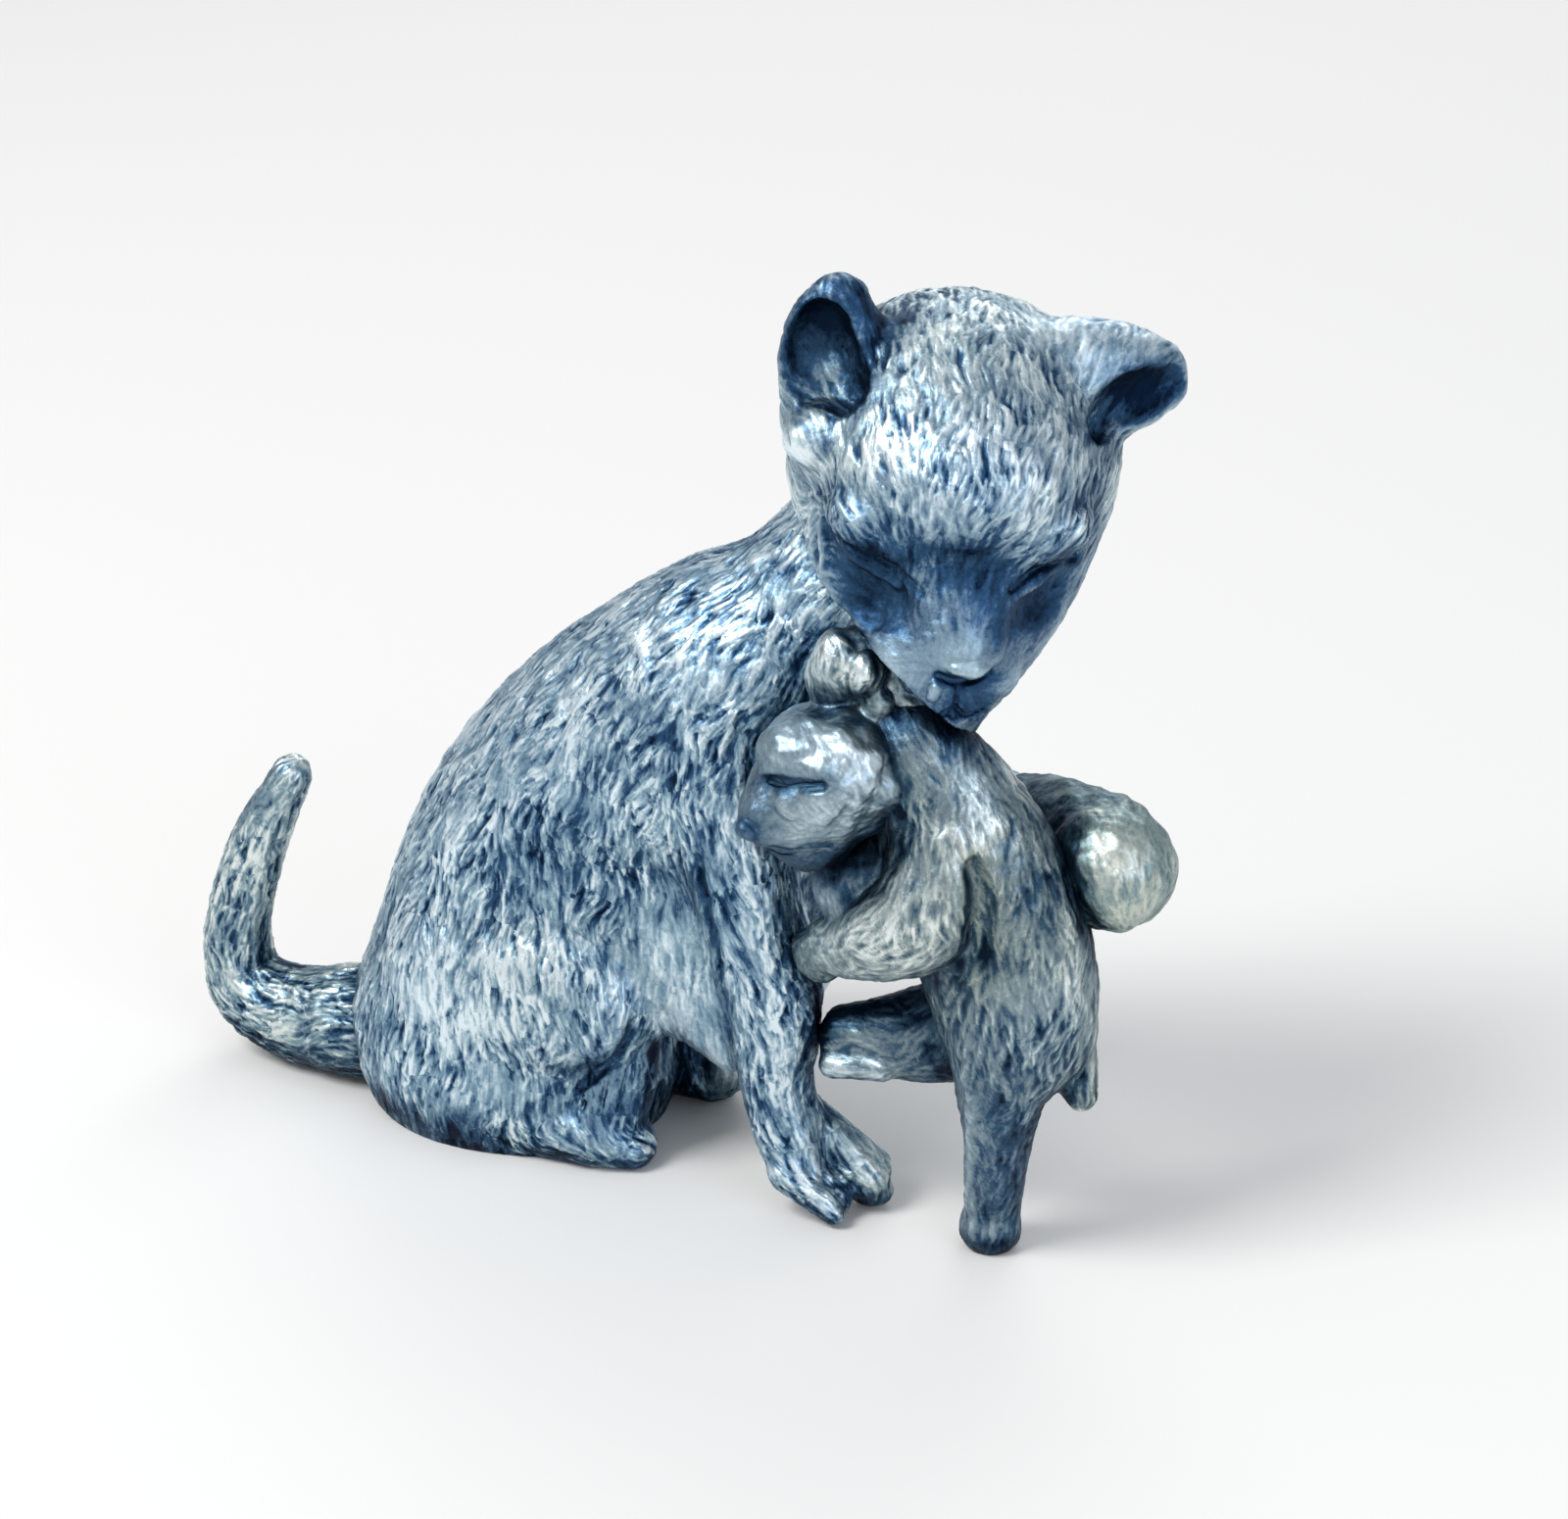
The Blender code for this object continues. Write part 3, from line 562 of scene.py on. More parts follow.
@dataclass
class Casting:
    """One casting: its forms, its fur, and the piece that is made from them."""

    name: str
    nodes: tuple[str, ...]
    slot: str
    forms: list[Form]
    step: float = 0.14
    most: int = 198000
    relief: float = 0.19
    tufts: float = 0.14
    lumps: float = 0.03
    pits: float = 0.035
    mean_height: float = 0.45
    uneven: float = 0.4
    foot: float = 0.4
    strokes: Strokes = Strokes()
    tuft_strokes: Strokes = Strokes(1.7, 0.46, 0.85, 9.0, 11)
    rubbing: RubbingAndShading = RubbingAndShading()

    def field_at(self, points: Points, margin: float = FELT) -> Values:
        """Signed distance to the casting: its forms joined in order, cut off at the shelf."""
        return np.maximum(joined(self.forms, points, margin), -points[:, 2])

    def slope_at(self, points: Points) -> tuple[Values, Points]:
        """Field and its slope, from four nearby samples."""
        reach = np.float32(0.03)
        gap = self.field_at(points)
        slope = np.stack([self.field_at(points + reach * axis) - gap
                          for axis in np.eye(3, dtype=np.float32)], axis=1) / reach
        return gap, slope

    def bare_skin(self) -> tuple[Points, Points, Points]:
        """Points, normals and faces of the casting before its fur.

        The field is sampled at the middle of each block of the grid, and sample by
        sample only in the blocks that the surface can reach. The skin is then
        drawn onto the exact surface along its slope.

        Returns:
            Points, outward normals, and the four point numbers of each face.
        """
        step, pad, below = self.step, 0.8, 4.5
        boxes = [form.box() for form in self.forms if form.role is Role.ADD]
        low = np.min([box[0] for box in boxes], axis=0) - pad
        low[2] = max(low[2], -below * step)
        high = np.max([box[1] for box in boxes], axis=0) + pad
        blocks = np.ceil((high - low) / (BLOCK * step)).astype(int)
        where = np.indices(blocks).reshape(3, -1).T
        centres = (low + step * (BLOCK * where + (BLOCK - 1) / 2)).astype(np.float32)
        rough = self.field_at(centres)
        values = rough.reshape(blocks)
        for axis in range(3):
            values = np.repeat(values, BLOCK, axis=axis)
        half_diagonal, slack = 3.6 * step, 0.3
        live = where[np.abs(rough) < half_diagonal + slack]
        inner = np.indices((BLOCK, BLOCK, BLOCK)).reshape(3, -1).T
        samples = (BLOCK * live[:, None] + inner[None]).reshape(-1, 3)
        values[tuple(samples.T)] = self.field_at((low + step * samples).astype(np.float32))
        points, faces = skin_of(values, low, step)
        points = points.astype(np.float32)
        farthest, least_slope = 0.5 * step, 0.25
        for _ in range(2):
            gap, slope = self.slope_at(points)
            shift = gap[:, None] * slope / np.maximum((slope**2).sum(axis=1, keepdims=True), least_slope)
            points = points - np.clip(shift, -farthest, farthest)
        _, slope = self.slope_at(points)
        return points, unit(slope), faces

    def grain(self, points: Points, normals: Points) -> tuple[Points, Points]:
        """Way of the fur along the surface, and how the surface is worked there.

        Both are means over the forms, each weighted by how close it lies. The way
        is then turned by chance swirls.

        Args:
            points: Places on the surface.
            normals: Directions out of the surface.

        Returns:
            Directions along the surface, and rows of fur depth, bareness with painted light and shade, and
            warmth.
        """
        closeness, swirled, curled = 0.5, 20, 12
        total = np.zeros((len(points), 3), np.float32)
        work = np.zeros((len(points), 3), np.float32)
        weight = np.full(len(points), LEAST, np.float32)
        for form in self.forms:
            if isinstance(form, Slice):
                continue
            near = np.flatnonzero(form.near(points, FELT))
            own, lie = form.measure(points[near])
            share = np.exp(-np.abs(own) / closeness)
            total[near] += share[:, None] * form.combed(points[near], lie)
            work[near] += share[:, None] * np.array((form.fur, form.rub, form.warm), np.float32)
            weight[near] += share
        swirl = np.radians(swirled * SWIRL.at(points) + curled * CURL.at(points))[:, None]
        flow = unit(total - normals * dot(total, normals)[:, None])
        flow = np.cos(swirl) * flow + np.sin(swirl) * np.cross(normals, flow)
        return flow, (work / weight[:, None]).T

    def raised(self, points: Points, normals: Points, depth: Values, fine: Values, broad: Values) -> Points:
        """Skin with its strokes and tufts of fur, lumps and pits, kept flat on the shelf."""
        rise = self.relief * depth * (fine - self.mean_height)
        rise += self.tufts * depth * (broad - self.mean_height)
        rise += self.lumps * SWELL.at(points) + self.pits * (1 - depth) * PITS.at(points)
        standing = np.clip(points[:, 2] / self.foot, 0.0, 1.0)
        raised = points + normals * (rise * standing)[:, None]
        raised[:, 2] = np.maximum(raised[:, 2], 0.0)
        return raised

    def build(self, shade: "Shade", finish: bpy.types.Material) -> bpy.types.Object:
        """Make the piece, dress it and hang it on the body that it rides on.

        Args:
            shade: How closed in each place of the whole group is; it paints shade into the colour.
            finish: Material of the piece.

        Returns:
            The finished object.
        """
        points, normals, faces = self.bare_skin()
        flow, (depth, rub, warm) = self.grain(points, normals)
        faces_in_cell = 1.5
        area = len(faces) * self.step**2 / faces_in_cell
        depth = depth * (1 + self.uneven * THICKNESS.at(points))
        fine = self.strokes.heights(points, normals, flow, area)
        broad = self.tuft_strokes.heights(points, normals, flow, area)
        raised = self.raised(points, normals, depth, fine, broad)
        # The closed-in value darkens and warms the colour below: patina in the hollows, and painted shade in
        # creases, between and under the parts and near the shelf.
        hollow = shade.at(points, normals)
        wear_and_shading = self.rubbing.wear_and_shading(depth, fine, broad, rub, hollow)
        wear_and_shading += self.rubbing.patches * PATCHES.at(points)
        warm = warm + self.rubbing.tarnish_and_shade * hollow
        mesh = mesh_of(self.name, raised * MM, faces, {
            "wear_and_shading": np.clip(wear_and_shading, 0, 1), "warm": np.clip(warm, 0, 1), "fur": depth, "lie": flow})
        piece = bpy.data.objects.new(self.name, mesh)
        bpy.context.scene.collection.objects.link(piece)
        thin(piece, self.most)
        piece.data.materials.append(finish)
        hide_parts(*self.nodes)
        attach(piece, "root")
        LOG.info("%s: %d points, %d faces", self.name, len(points), len(piece.data.polygons))
        return piece


def mesh_of(name: str, points: Points, faces: Points, values: dict[str, Values]) -> bpy.types.Mesh:
    """Mesh from whole arrays, shaded smooth.

    Args:
        name: Name of the mesh.
        points: Places, in metres.
        faces: Four point numbers of each face.
        values: A number or a direction for each point, by the name of its attribute.

    Returns:
        The new mesh.
    """
    mesh = bpy.data.meshes.new(name)
    mesh.vertices.add(len(points))
    mesh.vertices.foreach_set("co", np.ascontiguousarray(points, np.float32).ravel())
    mesh.loops.add(faces.size)
    mesh.loops.foreach_set("vertex_index", faces.astype(np.int32).ravel())
    mesh.polygons.add(len(faces))
    mesh.polygons.foreach_set("loop_start", np.arange(0, faces.size, 4, dtype=np.int32))
    mesh.update(calc_edges=True)
    mesh.validate()
    for label, numbers in values.items():
        kind, part = ("FLOAT", "value") if numbers.ndim == 1 else ("FLOAT_VECTOR", "vector")
        layer = mesh.attributes.new(label, kind, "POINT")
        layer.data.foreach_set(part, numbers.astype(np.float32).ravel())
    mesh.shade_smooth()
    return mesh


def thin(piece: bpy.types.Object, most: int) -> None:
    """Bring a piece down to a number of triangles, and keep the ridges where they are."""
    triangles = 2 * len(piece.data.polygons)
    if triangles > most:
        modifier = piece.modifiers.new("thin", "DECIMATE")
        modifier.ratio = most / triangles
        graph = bpy.context.evaluated_depsgraph_get()
        thinned = bpy.data.meshes.new_from_object(piece.evaluated_get(graph))
        piece.modifiers.clear()
        piece.data = thinned


class Shade:
    """How closed in each place is, from the field of the whole group and the shelf on a coarse grid. It is
    painted into the colour: patina in the hollows, and painted shade in creases, between and under the parts
    and near the shelf.
    """

    reach: float = 3.0
    gain: float = 1.6
    heights: tuple[tuple[float, float], ...] = ((0.6, 0.2), (1.2, 0.25), (2.2, 0.3), (3.0, 0.25))

    def __init__(self, castings: list[Casting], step: float = 0.45) -> None:
        """Sample the least distance to any casting.

        Args:
            castings: Every casting of the group.
            step: Spacing of the grid.
        """
        boxes = [form.box() for casting in castings for form in casting.forms if form.role is Role.ADD]
        self.low = np.min([box[0] for box in boxes], axis=0) - self.reach
        high = np.max([box[1] for box in boxes], axis=0) + self.reach
        self.step = step
        shape = np.ceil((high - self.low) / step).astype(int)
        places = (self.low + step * np.indices(shape).reshape(3, -1).T).astype(np.float32)
        # The shelf counts too, so shade is painted low on each casting where it meets the shelf.
        least = np.maximum(places[:, 2], 0.0)
        for casting in castings:
            least = np.minimum(least, casting.field_at(places, self.reach))
        self.grid = least.reshape(shape)

    def sample(self, points: Points) -> Values:
        """Distance at each point, mixed from the eight samples round it."""
        place = np.clip((points - self.low) / self.step, 0, np.array(self.grid.shape) - 1.001)
        base = place.astype(int)
        share = place - base
        total = np.zeros(len(points))
        for corner in np.indices((2, 2, 2)).reshape(3, -1).T:
            weight = np.prod(np.where(corner, share, 1 - share), axis=1)
            total += weight * self.grid[tuple((base + corner).T)]
        return total

    def at(self, points: Points, normals: Points) -> Values:
        """Nought in the open, one in a deep crease.

        At each height above the surface, how far the free distance falls short of
        the height; the second number of a pair is its weight.

        Args:
            points: Places on the surface.
            normals: Directions out of the surface.

        Returns:
            One value for each place.
        """
        total = np.zeros(len(points))
        for height, weight in self.heights:
            free = self.sample(points + height * normals)
            total += weight * np.clip(1 - np.maximum(free, 0.0) / height, 0, 1)
        return np.clip(self.gain * total, 0, 1)


def leaning(*way: float) -> dict[str, object]:
    """Look of a form whose fur lies the same way all over."""
    return {"comb": Comb.LEAN, "lean": way}


@dataclass
class Mother:
    """The mother: body, bowed head, tail and the foreleg that reaches round the kitten."""

    neck_seat: Triple = (14.0, 1.7, 30.0)
    neck_axis: Triple = (0.60, 0.28, 0.75)
    head: Pose = Pose((18.56, -1.05, 36.62), -62.0, 20.0, -3.0)
    nose: Triple = (9.5, 0.0, -4.0)
    body_step: float = 0.13
    head_step: float = 0.10
    limb_step: float = 0.10

    def body(self) -> Casting:
        """Seat, back, shoulders, hind legs and near foreleg."""
        mould = Mould()
        for sculpt in (self.trunk, self.hind_legs, self.near_foreleg, self.body_creases):
            sculpt(mould)
        mould.forms.append(Slice(seat=self.neck_seat, axis=self.neck_axis))
        return Casting("mother_body_cast", ("mother_body",), "aged_metal", mould.forms, self.body_step)

    def trunk(self, mould: Mould) -> None:
        """Back, neck, seat, belly, breast, both shoulders and the hollows of the flanks."""
        back = leaning(-0.42, 0.0, -0.9)
        mould.limb(1.0, (-4.6, 0, 1.0, 6.2, 7.0), (-4.2, 0, 7.5, 6.5, 7.6), (-1.6, 0, 14.0, 6.4, 7.4),
                   (2.9, 0, 19.5, 6.1, 7.0), (7.6, 0, 23.5, 5.4, 6.1), **back)
        mould.limb(2.5, (7.2, 0, 23.1, 5.5, 6.1), (11.4, 0.9, 27.2, 4.7, 5.0), (15.2, 2.5, 32.0, 4.6, 4.7),
                   **leaning(*NAPE))
        mould.ball(2.5, (-5.0, -0.1, 3.8), (8.2, 7.2, 7.0), lean=(-0.15, 0, -1))
        mould.ball(2.0, (5.4, -0.1, 12.2), (6.0, 4.4, 6.2), fur=0.5, rub=0.05)
        mould.ball(2.0, (8.4, 0.0, 17.4), (5.2, 5.2, 6.4), fur=0.5)
        mould.ball(1.6, (7.7, -3.3, 20.1), (4.0, 2.7, 5.0), both=True, **back)
        mould.limb(1.5, (-3.4, -8.6, 15.4, 1.6, 1.8), (0.6, -8.1, 15.2, 2.2, 2.2),
                   (4.4, -7.5, 15.0, 2.2, 2.2), (7.2, -7.0, 15.4, 1.6, 1.6), both=True, role=Role.CARVE,
                   rub=-0.2, **leaning(0.3, 0, -1))

    def hind_legs(self, mould: Mould) -> None:
        """Thighs, haunches, the web to the belly, shanks and feet."""
        mould.limb(1.0, (-5.0, -2.8, 8.0, 4.6, 5.2), (-1.2, -3.7, 8.2, 3.7, 4.6), (2.4, -4.2, 8.1, 2.6, 2.9),
                   both=True, rub=0.08, **leaning(0.06, 0, -1))
        mould.ball(2.0, (-3.8, -3.4, 3.0), (6.2, 2.9, 2.8), lean=(-0.15, 0, -1), rub=-0.35)
        mould.ball(1.2, (-0.8, -4.3, 9.2), (4.6, 2.8, 3.9), both=True, lean=(0.1, 0, -1), rub=0.08, warm=0.3)
        mould.limb(2.0, (3.6, -3.2, 10.8, 1.3, 3.7), (6.8, -3.4, 10.5, 1.3, 3.7), (9.6, -3.6, 9.9, 1.2, 4.2),
                   both=True, comb=Comb.LEAN, fur=0.4, rub=0.2)
        mould.ball(1.0, (4.6, 3.8, 2.6), (1.5, 1.3, 2.0), fur=0.4, rub=0.3)
        mould.limb(0.5, (3.0, -3.7, 7.0, 1.5, 2.0), (2.5, -3.7, 4.4, 1.7, 2.2), (1.9, -3.9, 1.8, 1.8, 2.2),
                   both=True, rub=-0.3)
        mould.limb(0.9, (-2.0, -4.6, 1.4, 1.7, 1.6), (1.6, -4.5, 1.4, 1.7, 1.6), (3.8, -3.9, 0.9, 1.4, 1.0),
                   both=True, rub=0.1)

    def near_foreleg(self, mould: Mould) -> None:
        """Foreleg from the shoulder to the paw, and its four toes."""
        mould.limb(1.0, (8.8, -4.0, 20.5, 2.2, 2.8), (10.2, -4.4, 15.5, 2.1, 2.5),
                   (11.4, -4.3, 10.8, 2.0, 2.4), (11.4, -4.0, 6.6, 1.6, 1.8), (12.1, -4.1, 3.8, 1.5, 1.6),
                   (12.8, -4.2, 2.2, 1.5, 1.3))
        mould.limb(0.4, (12.6, -4.9, 2.2, 1.0, 1.1), (15.0, -5.2, 0.7, 0.5, 0.55), rub=0.1)
        mould.limb(0.4, (12.7, -4.1, 2.4, 0.9, 1.0), (14.7, -4.3, 1.0, 0.7, 0.7), rub=0.1)
        mould.limb(0.6, (12.4, -2.9, 4.2, 1.0, 1.0), (14.2, -2.7, 2.8, 1.1, 1.2),
                   (15.3, -2.5, 1.7, 1.5, 1.2), fur=0.8, warm=0.3)
        for centre, halves, rub in (((15.8, -3.0, 1.6), (0.8, 0.7, 0.9), 0.15),
                                    ((15.6, -2.4, 0.8), (1.0, 1.0, 0.7), -0.1),
                                    ((14.9, -2.6, 2.9), (0.7, 0.7, 0.7), 0.1)):
            mould.ball(0.3, centre, halves, fur=0.7, warm=0.3, rub=rub)

    def body_creases(self, mould: Mould) -> None:
        """Crease in front of each thigh, locks on the shanks, and the far edge of the breast."""
        for side in (-1, 1):
            way = (0, -side, 0)
            mould.etch(((4.7, 8.2), (4.2, 6.7), (2.9, 5.3), (1.6, 4.0)), 0.28, way, blend=0.3, rub=-0.25)
            for x in (2.2, 3.1, 3.9):
                mould.etch(((x + 0.5, 6.4), (x, 4.6), (x - 0.3, 3.0)), 0.12, way, rub=-0.15)
        mould.etch(((8.6, 17.5), (9.3, 14.0), (9.5, 11.0), (9.5, 8.6)), 0.35, (0, 1, 0), blend=0.5,
                   rub=-0.25)

    def away(self, fur: float, rub: float = 0.0) -> dict[str, object]:
        """Look of a form of the head: its fur is combed away from the nose."""
        return {"comb": Comb.AWAY, "lean": self.head.point(*self.nose), "fur": fur, "rub": rub}

    def cast_head(self) -> Casting:
        """Skull, face and both ears, on the top of the neck."""
        mould = Mould(self.head)
        for sculpt in (self.skull, self.eyes, self.muzzle, self.face_lines, self.ears):
            sculpt(mould)
        mould.forms.append(Slice(seat=self.neck_seat, axis=tuple(-v for v in self.neck_axis)))
        return Casting("mother_head_cast", ("mother_head",), "burnished_metal", mould.forms, self.head_step,
                       relief=0.16, tufts=0.08, lumps=0.05)

    def skull(self, mould: Mould) -> None:
        """Skull, upper neck, the wedge of the face and the forehead."""
        seat, axis = np.array(self.neck_seat), unit(np.array(self.neck_axis))
        crown = np.array(self.head.centre)
        mould.ball(1.0, (-0.2, 0, 0.1), (7.3, 7.2, 6.7), warm=0.25, **self.away(1.0))
        mould.forms.append(Limb(blend=2.0, **leaning(*NAPE), stations=(
            (*(seat - 1.0 * axis), 4.5, 4.6), (*(seat + 1.7 * axis), 4.5, 4.6),
            (*(seat + 0.75 * (crown - seat)), 4.7, 4.8))))
        mould.limb(1.5, (1.0, 0, -0.6, 6.5, 6.0), (3.6, -0.1, -2.6, 5.8, 5.0), (6.2, -0.25, -4.4, 4.0, 3.9),
                   (8.2, -0.35, -5.9, 2.4, 2.6), (9.3, -0.35, -7.1, 1.5, 1.6), **self.away(0.5))
        mould.ball(2.0, (3.6, 0.1, 2.2), (4.4, 4.8, 3.3), **self.away(1.0))

    def eyes(self, mould: Mould) -> None:
        """Brow, hollow socket and closed lid of each eye, socket and lid painted dark as shade under the
        brow; the left eye sits further out.
        """
        for side, out in ((-1, 0.0), (1, 0.5)):
            mould.ball(1.0, (5.5, 2.7 * side, 0.8), (1.9, 2.9, 1.5), **self.away(1.0))
            # Socket, carved and painted dark: painted shade on the face under the brow.
            mould.limb(0.6, (7.2, (5.2 + out) * side, -1.7, 1.0, 1.1),
                       (8.1, (4.1 + out) * side, -1.7, 1.6, 1.6), (9.2, (2.6 + out) * side, -1.6, 1.3, 1.2),
                       (10.5, (2.2 + out) * side, -2.6, 0.9, 0.8), role=Role.CARVE, **self.away(0.1, -0.4))
            # Closed lid, painted dark: painted shade under the brow.
            mould.ball(0.5, (5.1, (3.4 - 0.9 * out) * side, -2.6), (1.8, 2.4 - 0.8 * out, 2.2),
                       **self.away(0.05, -0.36))

    def muzzle(self, mould: Mould) -> None:
        """Dip over the nose, bridge, muzzle, both whisker pads, chin and the tip of the nose."""
        # Dip over the nose, painted dark: painted shadow under the brow.
        mould.ball(0.8, (9.5, 0.3, 0.3), (1.8, 2.6, 1.0), role=Role.CARVE, **self.away(0.3, -0.4))
        mould.limb(1.0, (6.4, 0.1, -0.4, 2.0, 1.1), (8.0, 0.3, -1.8, 2.0, 1.2), (9.3, 0.45, -3.1, 1.6, 1.1),
                   **self.away(0.2, -0.15))
        mould.limb(0.9, (7.2, -0.1, -3.9, 3.0, 2.2), (8.9, 0.0, -5.1, 2.2, 1.9), **self.away(0.1, -0.1))
        # Whisker pads: the one towards the key light is painted lighter and the other darker, as painted
        # light and shade.
        mould.ball(0.5, (8.3, -1.7, -4.4), (1.6, 1.9, 1.7), **self.away(0.1, 0.27))
        mould.ball(0.5, (8.6, 1.5, -4.7), (1.4, 1.4, 1.4), **self.away(0.1, -0.2))
        mould.ball(0.5, (9.0, 0.0, -7.0), (1.5, 1.2, 1.3), **self.away(0.2, -0.1))
        mould.ball(0.12, (9.95, 0.5, -3.35), (0.85, 1.05, 0.5), **self.away(0.0, 0.6))

    def face_lines(self, mould: Mould) -> None:
        """Lid lines and lids, nostrils, brow fringe, mouth, chin lines and locks of the cheek; the brow
        fringe is painted dark as the shadow under the brow.
        """
        # Lid lines, carved and darkened: patina in the crease and painted shadow under the brow.
        mould.etch(((-5.4, 0.1), (-4.2, -0.1), (-3.0, -0.35), (-1.6, -0.9)), 0.2, blend=0.4, rub=-0.35)
        mould.etch(((5.0, -0.9), (4.2, -0.6), (3.3, -0.5), (2.3, -0.9)), 0.2, blend=0.4, rub=-0.35)
        for side in (-1, 1):
            mould.etch(((4.4 * side, -0.7), (3.4 * side, -1.0), (2.4 * side, -1.3)), 0.3, role=Role.ADD,
                       blend=0.4, sink=0.1, rub=0.05)
        mould.etch(((-0.7, -3.75), (0.2, -3.95), (1.5, -3.8)), 0.18, blend=0.25, rub=-0.5)
        mould.etch(((0.2, -4.2), (0.1, -5.1)), 0.1, blend=0.3, rub=-0.3)
        # Brow fringe, laid on and painted nearly black: painted shadow under the brow.
        mould.etch(((-4.6, 0.1), (-2.6, 0.35), (0.0, 0.4), (2.6, 0.35), (4.4, -0.1)), 0.55, role=Role.ADD,
                   blend=0.4, fur=0.5, sink=0.55, rub=-0.7)
        mould.etch(((-0.75, -4.2), (-0.85, -4.6)), 0.4, role=Role.ADD, blend=0.3, rub=0.2)
        mould.etch(((-1.9, -4.9), (-1.2, -5.4), (-0.5, -5.6), (0.1, -5.15), (0.6, -5.6), (1.3, -5.5)), 0.14,
                   rub=-0.5)
        mould.etch(((0.0, -5.4), (0.1, -5.6)), 0.25, rub=-0.5)
        for rows in (((-0.25, -6.2), (-0.2, -7.0)), ((0.35, -6.3), (0.35, -7.1))):
            mould.etch(rows, 0.16, role=Role.ADD, rub=0.4)
        for back, out in ((0.0, 0.0), (-1.0, 0.4), (-2.0, 0.6)):
            mould.limb(0.25, (4.4 + back, -5.6 - out, 0.2, 0.25, 0.25),
                       (5.6 + back, -5.3 - out, -1.9, 0.42, 0.4), (6.9 + back, -4.5 - out, -4.0, 0.25, 0.25),
                       side=ACROSS, fur=0.8, rub=0.1)

    def ears(self, mould: Mould) -> None:
        """Both ears, the dark inner fold and the hollow of the right one, the hollow of the left; the inner
        fold is painted dark as the shadow between the ear and the head.
        """
        cupped = tuple(float(v) for v in self.head.axes() @ np.array((-0.5, 0.0, 0.86)))
        mould.limb(0.8, (0.6, -4.8, 2.4, 2.8, 2.0), (-0.5, -5.4, 5.2, 2.4, 1.7), (-1.2, -5.4, 7.1, 1.3, 1.0),
                   **self.away(0.6, -0.1))
        mould.limb(0.8, (-0.4, 4.0, 3.7, 2.8, 2.2), (-0.7, 6.6, 3.8, 2.5, 1.9), (-1.2, 8.6, 3.7, 1.6, 1.2),
                   side=cupped, **self.away(0.6, 0.1))
        # Inner fold, painted dark: painted shadow between the ear and the head.
        mould.limb(0.4, (-0.6, -4.8, 7.2, 0.4, 0.4), (0.3, -4.0, 5.6, 0.5, 0.5), (1.6, -3.3, 3.8, 0.5, 0.5),
                   **self.away(0.4, -0.6))
        mould.limb(0.3, (0.1, -6.1, 6.6, 1.2, 1.0), (1.0, -6.3, 5.8, 1.8, 1.5), (2.1, -6.1, 4.6, 2.2, 1.4),
                   role=Role.CARVE, warm=0.3, **self.away(0.1, -0.3))
        mould.ball(0.8, (2.3, -5.6, 2.3), (1.6, 1.9, 1.5), **self.away(0.9, 0.3))
        mould.limb(0.4, (2.3, 5.8, 3.5, 0.7, 1.0), (1.6, 7.2, 4.1, 1.35, 1.5), (0.4, 9.3, 4.4, 1.05, 1.2),
                   side=cupped, role=Role.CARVE, **self.away(0.1, -0.45))

    def tail(self) -> Casting:
        """Bent rod of a tail, its fur combed to the tip."""
        mould = Mould()
        mould.limb(0.5, (-10.5, -1.6, 3.2, 2.8, 2.9), (-13.0, -2, 2.9, 2.7, 2.8), (-16.6, -2, 2.5, 2.3, 2.4),
                   (-19.5, -2, 3.5, 1.9, 2.0), (-19.9, -2, 6.8, 1.6, 1.6), (-18.4, -2, 11.4, 1.4, 1.4),
                   (-16.3, -2, 15.3, 1.0, 1.0), warm=0.3)
        return Casting("mother_tail_cast", ("mother_tail",), "aged_metal", mould.forms, self.limb_step)

    def far_foreleg(self) -> Casting:
        """Foreleg that reaches round behind the kitten, with its blunt paw."""
        mould = Mould()
        mould.limb(0.5, (8.6, 4.2, 20.4, 2.7, 2.9), (12.6, 5.6, 17.6, 2.3, 2.4), (16.2, 5.4, 17.6, 2.2, 2.2),
                   (20.2, 3.6, 17.8, 2.0, 2.0), (24.0, 0.9, 19.0, 2.0, 2.3), (26.0, -0.7, 19.5, 2.1, 2.3),
                   side=UPRIGHT, fur=0.6)
        # Band along the top of the arm over the paw, dark and brown: tarnished metal and painted shadow.
        mould.limb(0.8, (21.0, 3.0, 18.6, 2.0, 1.8), (24.0, 0.9, 19.6, 1.9, 1.8),
                   (26.6, -0.8, 20.4, 1.5, 1.6), side=UPRIGHT, fur=0.1, rub=-0.22, warm=0.9)
        mould.ball(0.3, (26.8, -1.7, 19.1), (2.9, 2.8, 2.8), fur=0.35, rub=0.08, warm=0.6,
                   lean=(0.3, -0.4, -0.8))
        return Casting("mother_far_foreleg_cast", ("mother_far_foreleg",), "aged_metal", mould.forms,
                       self.limb_step, lumps=0.09)


